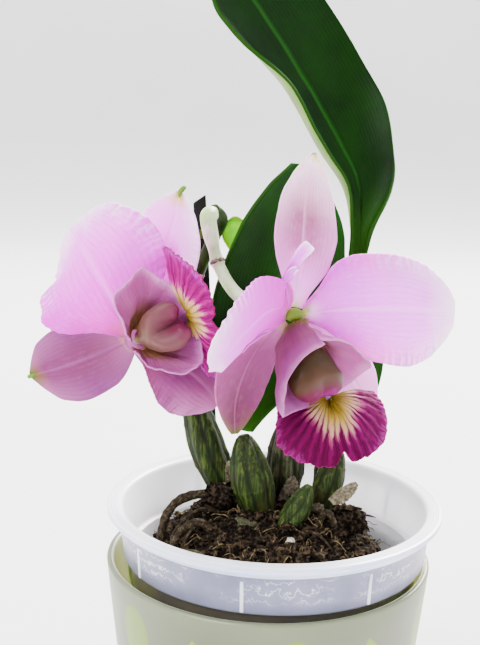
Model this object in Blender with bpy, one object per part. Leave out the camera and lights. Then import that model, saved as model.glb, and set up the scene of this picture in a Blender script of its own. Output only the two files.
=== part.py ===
# Cattleya orchid with two blooms, growing in a translucent inner pot that stands in a pale cachepot.
# Lengths below are in millimetres and angles in degrees; MM turns them into Blender's metres.
# World axes: +Z up, -Y towards the viewer, origin at the middle of the cachepot's flat base.

import math

import bmesh
import bpy
from mathutils import Matrix, Vector, noise

MM = 0.001
GAP = 0.3  # clearance between pieces that touch

# Driving dimensions of the two pots
CACHEPOT_TOP_R = 60.8
CACHEPOT_BASE_R = 49.0
CACHEPOT_HEIGHT = 104.5
CACHEPOT_WALL = 2.6
CACHEPOT_FLOOR = 5.0
POT_RIM_R = 62.5
POT_TOP_R = 58.0
POT_LEDGE_R = 56.6
POT_BODY_R = 54.4
POT_BASE_R = 42.5
POT_LEDGE_Z = 106.0
POT_TOP_Z = 125.0
POT_WALL = 1.4
POT_SHIFT_X = 2.0  # the inner pot stands a little off the cachepot's middle
POT_SIDES = 36

# Growing medium: a root ball that stands proud of a lower ring of bark
MOUND_TOP_Z = 123.5
MOUND_R = 44.0
RING_Z = 92.0
MEDIUM_SIDES = 38

LEAF_THICK = 1.8
TEPAL_THICK = 0.9
LIP_THICK = 0.9

# Where each bloom's tepals meet, and how it is turned: yaw to the viewer's right, pitch, and roll clockwise
RIGHT_BLOOM = dict(centre=(4.6, -28.0, 200.5), yaw=31.0, pitch=2.0, roll=5.0)
LEFT_BLOOM = dict(centre=(-51.0, -13.0, 188.0), yaw=-8.0, pitch=0.0, roll=-109.0)


def clear_scene():
    for thing in list(bpy.data.objects):
        bpy.data.objects.remove(thing, do_unlink=True)


def plain_material(name, colour, roughness, metallic=0.0):
    material = bpy.data.materials.new(name)
    material.use_nodes = True
    shader = material.node_tree.nodes["Principled BSDF"]
    shader.inputs["Base Color"].default_value = (*colour, 1.0)
    shader.inputs["Roughness"].default_value = roughness
    shader.inputs["Metallic"].default_value = metallic
    material.diffuse_color = (*colour, 1.0)
    return material


def smoothstep(x):
    x = min(max(x, 0.0), 1.0)
    return x * x * (3 - 2 * x)


def along(stations, t):
    """The value at t of a smooth line through (position, value) stations."""
    if t <= stations[0][0]:
        return stations[0][1]
    for (t0, a), (t1, b) in zip(stations, stations[1:]):
        if t <= t1:
            return a + (b - a) * smoothstep((t - t0) / (t1 - t0))
    return stations[-1][1]


def through(points, t):
    """The point at t, from 0 to 1, of a Catmull-Rom curve through the points."""
    last = len(points) - 1
    place = min(max(t, 0.0), 1.0) * last
    i = min(int(place), last - 1)
    f = place - i
    p = [Vector(points[min(max(k, 0), last)]) for k in (i - 1, i, i + 1, i + 2)]
    return 0.5 * (
        2 * p[1]
        + (p[2] - p[0]) * f
        + (2 * p[0] - 5 * p[1] + 4 * p[2] - p[3]) * f * f
        + (3 * p[1] - p[0] - 3 * p[2] + p[3]) * f**3
    )


def link_mesh(name, bm, material, parent=None, smooth_angle=50.0):
    mesh = bpy.data.meshes.new(name)
    bm.to_mesh(mesh)
    bm.free()
    mesh.shade_smooth()
    mesh.set_sharp_from_angle(angle=math.radians(smooth_angle))
    mesh.materials.append(material)
    made = bpy.data.objects.new(name, mesh)
    bpy.context.scene.collection.objects.link(made)
    made.parent = parent
    return made


def grid_to_shape(bm, place):
    """Moves each vertex of a 1 m grid to place(u, v), with u and v from 0 to 1, in millimetres."""
    for vert in bm.verts:
        vert.co = Vector(place(vert.co.x + 0.5, vert.co.y + 0.5)) * MM


def sheet(name, place, columns, rows, thickness, material, parent=None):
    """A thin blade: a grid laid on place(u, v), cut into like triangles and thickened."""
    bm = bmesh.new()
    bmesh.ops.create_grid(bm, x_segments=columns, y_segments=rows, size=0.5)
    bmesh.ops.triangulate(bm, faces=bm.faces[:], quad_method="SHORT_EDGE")
    grid_to_shape(bm, place)
    made = link_mesh(name, bm, material, parent)
    wall = made.modifiers.new("thickness", "SOLIDIFY")
    wall.thickness = thickness * MM
    wall.offset = 0.0
    wall.use_even_offset = False
    return made


def wrapped(name, place, sides, rows, material, parent=None, smooth_angle=50.0):
    """A closed round body: a grid rolled into a tube on place(turn, v), with both ends filled."""
    bm = bmesh.new()
    bmesh.ops.create_grid(bm, x_segments=sides, y_segments=rows, size=0.5)
    grid_to_shape(bm, place)
    bmesh.ops.remove_doubles(bm, verts=bm.verts[:], dist=0.02 * MM)
    bmesh.ops.holes_fill(bm, edges=[e for e in bm.edges if e.is_boundary])
    bmesh.ops.recalc_face_normals(bm, faces=bm.faces[:])
    return link_mesh(name, bm, material, parent, smooth_angle)


def turned(name, profile, sides, material, parent=None):
    """A body turned about Z from (radius, height) points that start and end on the axis or form a loop."""
    bm = bmesh.new()
    verts = [bm.verts.new((r * MM, 0, z * MM)) for r, z in profile]
    edges = [bm.edges.new(pair) for pair in zip(verts, verts[1:])]
    bmesh.ops.spin(
        bm,
        geom=verts + edges,
        axis=(0, 0, 1),
        cent=(0, 0, 0),
        angle=math.tau,
        steps=sides,
        use_merge=True,
        use_duplicate=False,
    )
    bmesh.ops.remove_doubles(bm, verts=bm.verts[:], dist=0.01 * MM)
    bmesh.ops.recalc_face_normals(bm, faces=bm.faces[:])
    return link_mesh(name, bm, material, parent)


def frame_at(path, t, up=Vector((0, 0, 1))):
    """(point, side, other side) of a path at t, for a ring across it."""
    step = 0.004
    here = path(t)
    ahead = (path(min(t + step, 1)) - path(max(t - step, 0))).normalized()
    if abs(ahead.dot(up)) > 0.9:
        up = Vector((0, 1, 0))
    side = ahead.cross(up).normalized()
    return here, side, side.cross(ahead).normalized()


def stem(name, points, radii, sides, rows, material, parent=None, up=Vector((0.3, 0.9, 0.2))):
    """A round stem through the points, with its radius given at stations along it."""

    def place(turn, v):
        here, side, other = frame_at(lambda t: through(points, t), v, up.normalized())
        r = along(radii, v)
        angle = math.tau * turn
        return here + (side * math.cos(angle) + other * math.sin(angle)) * r

    return wrapped(name, place, sides, rows, material, parent, smooth_angle=70.0)


# Pots


def make_cachepot(material):
    wall, floor = CACHEPOT_WALL, CACHEPOT_FLOOR
    top_r, base_r, height = CACHEPOT_TOP_R, CACHEPOT_BASE_R, CACHEPOT_HEIGHT
    chamfer = 2.5
    lip = 0.9
    profile = [
        (0, 0),
        (base_r - chamfer, 0),
        (base_r - 0.6, 0.8),
        (base_r, chamfer),
        (0.5 * (base_r + top_r) + 0.6, 0.5 * height),
        (top_r, height - lip),
        (top_r - lip, height),
        (top_r - wall + lip, height),
        (top_r - wall, height - lip),
        (0.5 * (base_r + top_r) + 0.6 - wall, 0.5 * height),
        (base_r - wall, floor + chamfer),
        (base_r - wall - chamfer, floor),
        (0, floor),
    ]
    return turned("cachepot", profile, POT_SIDES, material)


def pot_outside(z):
    """Outer radius of the inner pot's wall below its ledge."""
    bottom = CACHEPOT_FLOOR + GAP
    return POT_BASE_R + (POT_BODY_R - POT_BASE_R) * (z - bottom) / (POT_LEDGE_Z - bottom)


def make_inner_pot(material, parent):
    bottom = CACHEPOT_FLOOR + GAP
    rim_z = POT_TOP_Z - 3.6
    wall = POT_WALL
    profile = [
        (0, bottom),
        (POT_BASE_R - 1.5, bottom),
        (POT_BASE_R, bottom + 1.5),
        (POT_BODY_R, POT_LEDGE_Z - 1.0),
        (POT_LEDGE_R, POT_LEDGE_Z),
        (POT_TOP_R, rim_z - 1.6),
        (POT_RIM_R - 2.4, rim_z - 0.6),
        (POT_RIM_R - 1.2, rim_z + 0.6),
        (POT_RIM_R - 0.2, rim_z + 1.2),
        (POT_RIM_R, POT_TOP_Z - 1.0),
        (POT_RIM_R - 0.9, POT_TOP_Z),
        (POT_TOP_R - wall + 1.2, POT_TOP_Z - 0.2),
        (POT_TOP_R - wall, POT_TOP_Z - 1.8),
        (POT_LEDGE_R - wall, POT_LEDGE_Z + 1.2),
        (POT_BODY_R - wall, POT_LEDGE_Z - 0.2),
        (POT_BASE_R - wall, bottom + 2.0),
        (POT_BASE_R - wall - 0.8, bottom + wall),
        (0, bottom + wall),
    ]
    pot = turned("inner_pot", profile, POT_SIDES, material, parent)
    cut_drainage(pot, bottom, parent)
    return pot


def cut_drainage(pot, bottom, parent):
    """Six round holes in the pot's floor let the water out."""
    holes, hole_r, ring_r = 6, 3.5, 26.0
    bm = bmesh.new()
    for i in range(holes):
        angle = math.tau * (i + 0.5) / holes
        centre = Vector((ring_r * math.cos(angle), ring_r * math.sin(angle), bottom)) * MM
        bmesh.ops.create_cone(
            bm,
            cap_ends=True,
            segments=8,
            radius1=hole_r * MM,
            radius2=hole_r * MM,
            depth=8 * MM,
            matrix=Matrix.Translation(centre),
        )
    cutter = link_mesh("drainage_cutter", bm, pot.data.materials[0], parent)
    cut_with(pot, cutter)


def join_to(target, piece):
    """Joins a piece to the target as one solid; the piece itself is then only a guide."""
    piece.hide_render = True
    piece.display_type = "WIRE"
    union = target.modifiers.new("join_" + piece.name, "BOOLEAN")
    union.operation = "UNION"
    union.object = piece


def cut_with(target, cutter):
    cutter.hide_render = True
    cutter.display_type = "WIRE"
    cut = target.modifiers.new("cut_" + cutter.name, "BOOLEAN")
    cut.operation = "DIFFERENCE"
    cut.object = cutter


# Growing medium, rhizome and roots


def crumbs(x, y, z):
    """Height of the bark and fibre crumbs at a point, in millimetres."""
    coarse = noise.noise(Vector((x * 0.13, y * 0.13, z * 0.13 + 5.0)))
    fine = noise.noise(Vector((x * 0.31 + 9.0, y * 0.31, z * 0.31)))
    return 2.6 * coarse + 1.7 * fine


def make_medium(material, parent):
    bottom = CACHEPOT_FLOOR + GAP + POT_WALL + GAP
    outline = [
        (0.0, (2.0, MOUND_TOP_Z)),
        (0.12, (9.0, MOUND_TOP_Z - 0.5)),
        (0.22, (18.0, MOUND_TOP_Z - 2.5)),
        (0.34, (29.0, MOUND_TOP_Z - 6.5)),
        (0.46, (39.0, MOUND_TOP_Z - 13.0)),
        (0.56, (MOUND_R, MOUND_TOP_Z - 22.0)),
        (0.64, (MOUND_R + 2.0, RING_Z + 2.0)),
        (0.72, (pot_outside(RING_Z) - POT_WALL - 2.0, RING_Z)),
        (0.80, (pot_outside(RING_Z - 5) - POT_WALL - GAP - 0.5, RING_Z - 5)),
        (0.90, (pot_outside(bottom + 3) - POT_WALL - GAP - 0.5, bottom + 3)),
        (0.95, (POT_BASE_R - POT_WALL - 4.0, bottom)),
        (1.0, (3.0, bottom)),
    ]
    radii = [(t, rz[0]) for t, rz in outline]
    heights = [(t, rz[1]) for t, rz in outline]

    def place(turn, v):
        angle = math.tau * turn
        r, z = along(radii, v), along(heights, v)
        x, y = r * math.cos(angle), r * math.sin(angle)
        rough = smoothstep(v / 0.05) * (1 - smoothstep((v - 0.58) / 0.12))
        lift = crumbs(x, y, z) * rough
        out = 0.35 + 0.65 * smoothstep((v - 0.3) / 0.3)
        # the root ball reaches further forward and to the left than behind
        lobe = 1.0 + 0.09 * rough * math.cos(angle - math.radians(235))
        grow = (r * lobe + lift * out) / max(r, 1e-6)
        return Vector((x * grow, y * grow, z + lift * (1.2 - out)))

    return wrapped("growing_medium", place, MEDIUM_SIDES, 22, material, parent, 35.0)


def bulb_place(spec, grow=0.0):
    """Surface of a pseudobulb: a spindle on a curved axis, with lengthwise furrows."""
    foot, head = Vector(spec["foot"]), Vector(spec["head"])
    bow = Vector(spec.get("bow", (0, 0, 0)))
    path = [foot, foot.lerp(head, 0.5) + bow, head]

    def place(turn, v):
        here, side, other = frame_at(lambda t: through(path, t), v)
        belly = along([(0, 0.42), (0.3, 0.88), (0.52, 1.0), (0.8, 0.7), (1.0, 0.26)], v)
        angle = math.tau * turn
        furrow = 0.045 * math.cos(spec["ribs"] * angle + 1.3 * v) * math.sin(math.pi * v)
        r = spec["radius"] * (belly + furrow) + grow
        flat = spec.get("flat", 1.0)
        ahead = (path[2] - path[0]).normalized()
        end = grow * ((v - 0.5) * 2) ** 3
        return here + ahead * end + side * math.cos(angle) * r + other * math.sin(angle) * r * flat

    return place


# Each pseudobulb's foot in the medium, its head, its greatest radius and the number of ribs
BULBS = {
    "pseudobulb_front": dict(
        foot=(-3.2, -4.5, 117.0), head=(-12.2, -3.0, 151.0), bow=(-0.8, -1.0, 0.0), radius=7.7, ribs=7
    ),
    "pseudobulb_left": dict(
        foot=(-15.0, 7.5, 119.0), head=(-33.5, 8.5, 168.0), bow=(-1.0, 0.0, -2.5), radius=6.8, ribs=6
    ),
    "pseudobulb_old": dict(
        foot=(2.5, 9.5, 117.0), head=(3.5, 12.0, 152.0), bow=(1.2, 0.0, 0.0), radius=7.3, ribs=8
    ),
    "pseudobulb_small": dict(
        foot=(0.8, -13.5, 115.5), head=(12.6, -10.8, 134.8), bow=(0.6, -0.6, -0.6), radius=4.7, ribs=6
    ),
    "pseudobulb_right": dict(
        foot=(14.0, -2.0, 118.0), head=(23.5, 1.5, 146.0), bow=(1.4, -0.6, 0.0), radius=5.4, ribs=6
    ),
    "pseudobulb_tall": dict(
        foot=(17.5, 14.5, 116.0), head=(30.0, 30.0, 203.0), bow=(2.0, 2.0, 0.0), radius=5.6, ribs=6
    ),
}


def make_bulbs(material, parent, medium):
    made = {}
    for name, spec in BULBS.items():
        made[name] = wrapped(name, bulb_place(spec), 14, 8, material, parent)
        hole = wrapped(name + "_hole", bulb_place(spec, grow=GAP), 14, 8, material, parent)
        cut_with(medium, hole)
    return made


# Points of each root's run over the medium, its radius and its piece name
ROOTS = {
    "root_left_arch": dict(
        points=[(-19.5, -2, 118), (-25, -3, 127.0), (-34, -5, 126.5), (-40.5, -8, 120), (-43.0, -12, 104)],
        radius=1.7,
    ),
    "root_left_low": dict(
        points=[(-22, -16, 117), (-28, -17, 122.0), (-35, -18, 117.5), (-39.5, -20, 106)],
        radius=1.5,
    ),
    "root_right_arch": dict(
        points=[(14, -13, 117), (18.5, -13.5, 125.5), (21.5, -15, 121.5), (22.5, -17, 112)],
        radius=1.2,
    ),
    "root_front_tip": dict(
        points=[(-22, -31, 108), (-27, -32.5, 115.2), (-33, -32.5, 116.2), (-38.0, -31.5, 112.5)],
        radius=1.8,
    ),
}


# The creeping stem that the pseudobulbs grow from shows as one knobby length at the front of the root ball
ROOTS["rhizome"] = dict(
    points=[(-19, -11, 112), (-15.5, -13, 118.5), (-10.5, -14.5, 120.5), (-6.0, -13.5, 117.0)],
    radius=2.3,
    knobs=[(0, 0.8), (0.22, 1.0), (0.36, 0.8), (0.52, 1.25), (0.66, 0.85), (0.8, 1.15), (1, 0.7)],
)
SMOOTH_TAPER = [(0, 0.9), (0.5, 1.0), (0.9, 0.9), (1, 0.6)]


def make_roots(material, parent, medium):
    for name, spec in ROOTS.items():
        r = spec["radius"]
        swell = [(t, r * share) for t, share in spec.get("knobs", SMOOTH_TAPER)]
        stem(name, spec["points"], swell, 6, 10, material, parent)
        wide = [(t, v + GAP) for t, v in swell]
        hole = stem(name + "_hole", spec["points"], wide, 6, 10, material, parent)
        cut_with(medium, hole)


# Leaves


def blade_place(spec):
    """Surface of a leaf, sepal or petal.

    Its midrib leaves the base along a heading in the XZ plane, leans towards -Y by `lean` and turns in its
    own plane by `sweep`. Across it each half is an arc: a positive cup brings that margin towards -Y.
    """
    angle = math.radians(spec["angle"])
    heading = Vector((math.cos(angle), 0, math.sin(angle)))
    across = Vector((math.sin(angle), 0, -math.cos(angle)))
    front = Vector((0, -1, 0))
    steps = 40
    mid, sides, normals, at = [], [], [], Vector(spec.get("base", (0, 0, 0)))
    for i in range(steps + 1):
        v = i / steps
        lean = math.radians(along(spec["lean"], v))
        sweep = math.radians(along(spec.get("sweep", [(0, 0)]), v))
        flat = heading * math.cos(sweep) + across * math.sin(sweep)
        side = across * math.cos(sweep) - heading * math.sin(sweep)
        ahead = flat * math.cos(lean) + front * math.sin(lean)
        normal = side.cross(ahead)
        twist = math.radians(along(spec.get("twist", [(0, 0)]), v))
        turn = Matrix.Rotation(twist, 3, ahead)
        mid.append(at.copy())
        sides.append(turn @ side)
        normals.append(turn @ normal)
        at = at + ahead * (spec["length"] / steps)

    def place(u, v):
        place_v = v * steps
        i = min(int(place_v), steps - 1)
        f = place_v - i
        here = mid[i].lerp(mid[i + 1], f)
        side = sides[i].lerp(sides[i + 1], f).normalized()
        normal = normals[i].lerp(normals[i + 1], f).normalized()
        s = 2 * u - 1
        outline = spec.get("outline_left" if s < 0 else "outline_right", spec.get("outline"))
        half = 0.5 * spec["width"] * along(outline, v)
        cup = along(spec["cup_left" if s < 0 else "cup_right"], v)
        bend = cup * abs(s)
        reach = math.sin(bend) / cup if abs(cup) > 0.01 else abs(s)
        rise = (1 - math.cos(bend)) / cup if abs(cup) > 0.01 else 0.0
        off = normal * (half * rise) + side * (half * reach * (1 if s > 0 else -1))
        keel = spec.get("keel", 0.0) * (abs(s) - 0.35) * smoothstep(v * 4) * smoothstep((1 - v) * 5)
        edge = abs(s) ** 2.2 * smoothstep(v * 2.5)
        for side_sign, amount, count, shift, start in spec.get("ruffles", []):
            if side_sign * s >= 0:
                wave = math.sin(math.tau * (count * v + shift) - 1.2 * abs(s))
                off += normal * (amount * wave * edge * smoothstep((v - start) * 5))
        return here + off + normal * keel

    return place


LEAF_OUTLINE = [(0, 0.16), (0.12, 0.42), (0.3, 0.82), (0.52, 1.0), (0.75, 0.88), (0.92, 0.5), (1, 0.14)]

# The tall leaf keeps a narrow stalk-like base for longer
TALL_LEAF_OUTLINE = [(0, 0.15), (0.1, 0.2), (0.25, 0.62), (0.42, 0.95)]
TALL_LEAF_OUTLINE += [(0.6, 1.0), (0.8, 0.86), (0.94, 0.5), (1, 0.14)]

LEAVES = {
    "leaf_broad": dict(
        base=(-12.4, -1.5, 152.4),
        angle=74.0,
        length=102.0,
        width=50.0,
        lean=[(0, -34), (0.3, 0), (1, 4)],
        sweep=[(0, 0), (0.5, -6), (1, -10)],
        twist=[(0, -3), (1, 26)],
        outline=LEAF_OUTLINE,
        cup_left=[(0, 1.1), (0.3, 0.45), (1, 0.45)],
        cup_right=[(0, 1.2), (0.3, 0.3), (1, 0.3)],
        keel=-1.2,
    ),
    "leaf_back": dict(
        base=(23.6, 2.0, 147.2),
        angle=86.0,
        length=60.0,
        width=27.0,
        lean=[(0, -42), (0.35, -16), (1, 0)],
        sweep=[(0, 6), (0.4, 2), (1, -8)],
        outline=LEAF_OUTLINE,
        cup_left=[(0, 1.1), (0.3, 0.4), (1, 0.25)],
        cup_right=[(0, 1.1), (0.3, 0.4), (1, 0.25)],
        keel=-1.0,
    ),
    "leaf_tall": dict(
        base=(30.6, 30.8, 204.6),
        angle=86.5,
        length=162.0,
        width=54.0,
        lean=[(0, -12), (0.35, -14), (0.7, 9), (1, 40)],
        sweep=[(0, 3), (0.15, -5), (0.3, -33), (0.6, -38), (0.8, -44), (1, -79)],
        twist=[(0, -20), (0.25, 18), (0.5, 34), (1, 35)],
        outline=TALL_LEAF_OUTLINE,
        cup_left=[(0, 1.5), (0.2, 1.9), (0.5, 1.5), (0.8, 0.7), (1, 0.4)],
        cup_right=[(0, 1.8), (0.3, 0.65), (1, 0.3)],
        keel=-1.4,
    ),
}


# A stub of dry sheath beside the right pseudobulb
DRY_SHEATH = dict(
    base=(20.5, -9.0, 128.0),
    angle=38.0,
    length=12.0,
    width=6.0,
    lean=[(0, 10), (1, -12)],
    outline=[(0, 0.5), (0.4, 1.0), (0.8, 0.7), (1, 0.25)],
    cup_left=[(0, 0.9), (1, 0.6)],
    cup_right=[(0, 0.9), (1, 0.6)],
)


def make_leaves(material, dry_material, parent):
    for name, spec in LEAVES.items():
        sheet(name, blade_place(spec), 8, 14, LEAF_THICK, material, parent)
    sheet("dry_sheath", blade_place(DRY_SHEATH), 4, 5, TEPAL_THICK, dry_material, parent)


# Blooms

# Half-width of a tepal at positions from its base to its tip, as a share of its greatest
SEPAL_OUTLINE = [(0, 0.24), (0.1, 0.36), (0.3, 0.8), (0.5, 1.0)]
SEPAL_OUTLINE += [(0.68, 0.93), (0.86, 0.6), (0.95, 0.3), (1, 0.08)]
PETAL_OUTLINE = [(0, 0.14), (0.1, 0.3), (0.28, 0.72), (0.5, 0.98)]
PETAL_OUTLINE += [(0.7, 1.0), (0.86, 0.82), (0.96, 0.5), (1, 0.2)]
SMOOTH_CUP = [(0, 0.5), (0.4, 0.2), (1, 0.3)]

# A petal whose one margin springs broad from its base, as the far petal of the right bloom does
BROAD_MARGIN = [(0, 0.16), (0.1, 0.45), (0.22, 0.8), (0.4, 0.98)]
BROAD_MARGIN += [(0.6, 1.0), (0.8, 0.86), (0.94, 0.55), (1, 0.24)]
NARROW_MARGIN = [(0, 0.12), (0.12, 0.26), (0.3, 0.62), (0.5, 0.94)]
NARROW_MARGIN += [(0.7, 1.0), (0.86, 0.82), (0.96, 0.5), (1, 0.24)]

# A sepal that is already broad near its base
FULL_BASE_OUTLINE = [(0, 0.22), (0.12, 0.52), (0.3, 0.92), (0.5, 1.0)]
FULL_BASE_OUTLINE += [(0.68, 0.9), (0.86, 0.55), (0.95, 0.3), (1, 0.1)]

RIGHT_TEPALS = {
    "right_dorsal_sepal": dict(
        base=(0.0, 3.3, 3.1),
        angle=88.0,
        length=53.0,
        width=29.0,
        lean=[(0, -2), (0.5, -14), (1, 9)],
        sweep=[(0, 6), (1, 0)],
        twist=[(0, -6), (1, 16)],
        outline=SEPAL_OUTLINE,
        cup_left=[(0, 0.7), (0.4, 0.35), (1, 0.15)],
        cup_right=[(0, 0.65), (0.4, 0.15), (1, 0.1)],
    ),
    "right_petal_right": dict(
        base=(3.4, 1.5, 1.1),
        angle=5.0,
        length=54.0,
        width=40.0,
        lean=[(0, 10), (0.5, 29), (1, 27)],
        sweep=[(0, -3), (0.5, -3), (1, 8)],
        twist=[(0, 1), (1, -19)],
        outline_left=BROAD_MARGIN,
        outline_right=NARROW_MARGIN,
        cup_left=[(0, 0.5), (0.4, -0.5), (1, -0.45)],
        cup_right=[(0, 0.4), (0.4, -0.25), (1, -0.25)],
        ruffles=[(1, 0.9, 5.0, 0.1, 0.35), (-1, 0.7, 4.0, 0.4, 0.45)],
    ),
    "right_petal_left": dict(
        base=(-3.4, 1.5, 1.1),
        angle=168.0,
        length=53.5,
        width=29.0,
        lean=[(0, 43), (0.35, 28), (0.7, 32), (1, 0)],
        sweep=[(0, 15), (0.5, -38), (1, -48)],
        twist=[(0, 8), (0.5, -18), (1, -28)],
        outline=PETAL_OUTLINE,
        cup_left=[(0, 0.5), (0.4, -0.9), (1, -0.9)],
        cup_right=[(0, 0.35), (0.4, -0.15), (1, -0.3)],
        ruffles=[(-1, 0.7, 5.0, 0.2, 0.4)],
    ),
    "right_sepal_left": dict(
        base=(-2.1, 3.4, -1.8),
        angle=250.5,
        length=45.0,
        width=29.0,
        lean=[(0, -18), (0.4, -13), (1, 14)],
        sweep=[(0, 22), (0.5, -8), (1, -21)],
        twist=[(0, -26), (0.4, -28), (1, -11)],
        outline=FULL_BASE_OUTLINE,
        cup_left=[(0, 0.0), (0.4, 0.3), (1, 0.1)],
        cup_right=[(0, 0.5), (0.4, -0.35), (1, 0.55)],
    ),
    "right_sepal_right": dict(
        base=(2.1, 3.4, -1.8),
        angle=308.0,
        length=56.0,
        width=20.5,
        lean=[(0, -14), (0.5, 7), (1, 7)],
        sweep=[(0, -25), (1, 10)],
        twist=[(0, 14), (1, -10)],
        outline=SEPAL_OUTLINE,
        cup_left=[(0, 0.3), (0.4, 0.25), (1, 0.2)],
        cup_right=[(0, 0.5), (0.4, 0.3), (1, 0.25)],
    ),
}

LEFT_TEPALS = {
    "left_dorsal_sepal": dict(
        base=(0.0, 3.3, 3.1),
        angle=92.0,
        length=45.0,
        width=30.5,
        lean=[(0, -28), (0.5, -2), (1, -12)],
        sweep=[(0, -6), (1, 2)],
        twist=[(0, -11), (1, -10)],
        outline=[(0, 0.24), (0.12, 0.5), (0.35, 0.9), (0.58, 1.0), (0.78, 0.82), (0.92, 0.42), (1, 0.1)],
        cup_left=[(0, 0.15), (0.4, 0.05), (1, 0.3)],
        cup_right=[(0, 0.15), (0.4, 0.3), (1, 0.3)],
    ),
    "left_petal_upper": dict(
        base=(3.4, 1.5, 1.1),
        angle=9.0,
        length=44.0,
        width=55.0,
        lean=[(0, 26), (0.5, -7), (1, -22)],
        sweep=[(0, 2), (1, -10)],
        twist=[(0, 5), (1, -26)],
        outline=PETAL_OUTLINE,
        cup_left=[(0, 0.3), (0.4, 0.2), (1, -0.3)],
        cup_right=[(0, 0.4), (0.4, -0.3), (1, -0.1)],
        ruffles=[(1, 1.2, 3.0, 0.1, 0.3), (-1, 1.4, 3.0, 0.4, 0.3)],
    ),
    "left_petal_lower": dict(
        base=(-3.4, 1.5, 1.1),
        angle=202.0,
        length=37.0,
        width=31.0,
        lean=[(0, 8), (0.5, 0), (1, -22)],
        sweep=[(0, -38), (1, 7)],
        twist=[(0, -25), (1, -16)],
        outline=PETAL_OUTLINE,
        cup_left=[(0, 0.2), (0.4, -0.2), (1, -0.3)],
        cup_right=[(0, 0.5), (0.4, -0.1), (1, -0.35)],
        ruffles=[(1, 0.7, 4.0, 0.2, 0.4)],
    ),
    "left_sepal_upper": dict(
        base=(2.1, 3.4, -1.8),
        angle=323.5,
        length=54.0,
        width=29.0,
        lean=[(0, -18), (0.5, 9), (1, 17)],
        sweep=[(0, -1), (1, -2)],
        twist=[(0, -16), (0.4, -22), (1, -13)],
        outline=SEPAL_OUTLINE,
        cup_left=[(0, 0.1), (0.4, -0.2), (1, 0.3)],
        cup_right=[(0, 0.3), (0.4, 0.2), (1, 0.3)],
    ),
    "left_sepal_lower": dict(
        base=(-2.1, 3.4, -1.8),
        angle=236.0,
        length=44.0,
        width=21.0,
        lean=[(0, -26), (0.5, -22), (1, 4)],
        outline=SEPAL_OUTLINE,
        cup_left=SMOOTH_CUP,
        cup_right=SMOOTH_CUP,
    ),
}


def bloom_empty(name, turn, parent):
    spot = bpy.data.objects.new(name, None)
    bpy.context.scene.collection.objects.link(spot)
    yaw, pitch, roll = (math.radians(turn[k]) for k in ("yaw", "pitch", "roll"))
    facing = Matrix.Rotation(yaw, 4, "Z") @ Matrix.Rotation(pitch, 4, "X")
    spot.matrix_world = (
        Matrix.Translation(Vector(turn["centre"]) * MM) @ facing @ Matrix.Rotation(roll, 4, "Y")
    )
    spot.parent = parent
    return spot


def lip_axes(lip):
    """(along the column, up from the lip's floor, across the lip) in the bloom's own frame."""
    dip = math.radians(lip["dip"])
    swing = Matrix.Rotation(math.radians(lip["swing"]), 3, "Y")
    ahead = swing @ Vector((0, -math.cos(dip), -math.sin(dip)))
    across = swing @ Vector((1, 0, 0))
    return ahead, ahead.cross(across), across


TUBE_RADIUS = [(0, 3.4), (0.12, 4.6), (0.3, 8.6), (0.55, 11.4), (0.8, 12.6), (1.0, 13.2)]


def tube_place(lip):
    """The lip's two side lobes, wrapped round the column with a cleft on top and flared at their rims."""
    ahead, up, across = lip_axes(lip)

    def place(u, v):
        turn = 2 * u - 1
        # the two margins stop short of each other on top
        angle = math.radians(turn * lip["wrap"])
        rim = lip["rim_right"] if turn > 0 else lip["rim_left"]
        s = 2.0 + v * (along(rim, abs(turn)) - 2.0)
        flare = along(lip["flare_right"] if turn > 0 else lip["flare_left"], abs(turn))
        out = flare * smoothstep((v - 0.45) / 0.55)
        r = along(TUBE_RADIUS, s / 28.0) + out
        r += 0.5 * math.sin(11 * math.pi * turn) * v**3 * smoothstep(abs(turn) * 4)
        s -= 0.3 * max(out, 0.0)
        rise = -math.cos(angle) * r * lip["roof_share" if abs(turn) > 0.5 else "floor_share"]
        return ahead * s + across * (math.sin(angle) * r) + up * rise

    return place


def blade_reach(angle):
    """Reach of the lip's blade at an angle in radians off its middle, as a share of its greatest."""
    notch = 0.22 * math.exp(-((angle / 0.15) ** 2))
    return 1.0 - notch - 0.1 * smoothstep((abs(angle) - 0.7) / 1.2)


def lip_blade_place(lip):
    """The lip's blade: a ribbed fan from the throat, arched across and curling down at its margin."""
    ahead, up, across = lip_axes(lip)
    hinge, height = lip["throat"]
    throat = ahead * hinge + up * height + across * lip["shift"]
    droop = Matrix.Rotation(math.radians(-lip["droop"]), 3, across)
    tilt = Matrix.Rotation(math.radians(lip["tilt"]), 3, droop @ up)
    ahead, up, across = tilt @ droop @ ahead, droop @ up, tilt @ across
    length, half_width = lip["blade_length"], lip["blade_half_width"]
    half_fan = math.radians(lip["half_fan"])
    root = 0.06

    def place(u, v):
        angle = (2 * u - 1) * half_fan
        reach = (root + v * (1 - root)) * blade_reach(angle)
        x = reach * math.sin(angle)
        y = reach * math.cos(angle)
        rib = 0.35 * math.cos(22 * angle) * smoothstep(v * 2)
        wave = 0.8 * math.sin(5 * angle + lip["wave_shift"]) * smoothstep((v - 0.5) * 2)
        lift = 1.2 * math.sin(math.pi * min(v * 1.2, 1.0))
        lift -= lip["curl"] * reach * reach + lip["arch"] * x * x
        return throat + ahead * (y * length) + across * (x * half_width) + up * (lift + rib + wave)

    return place


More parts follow.
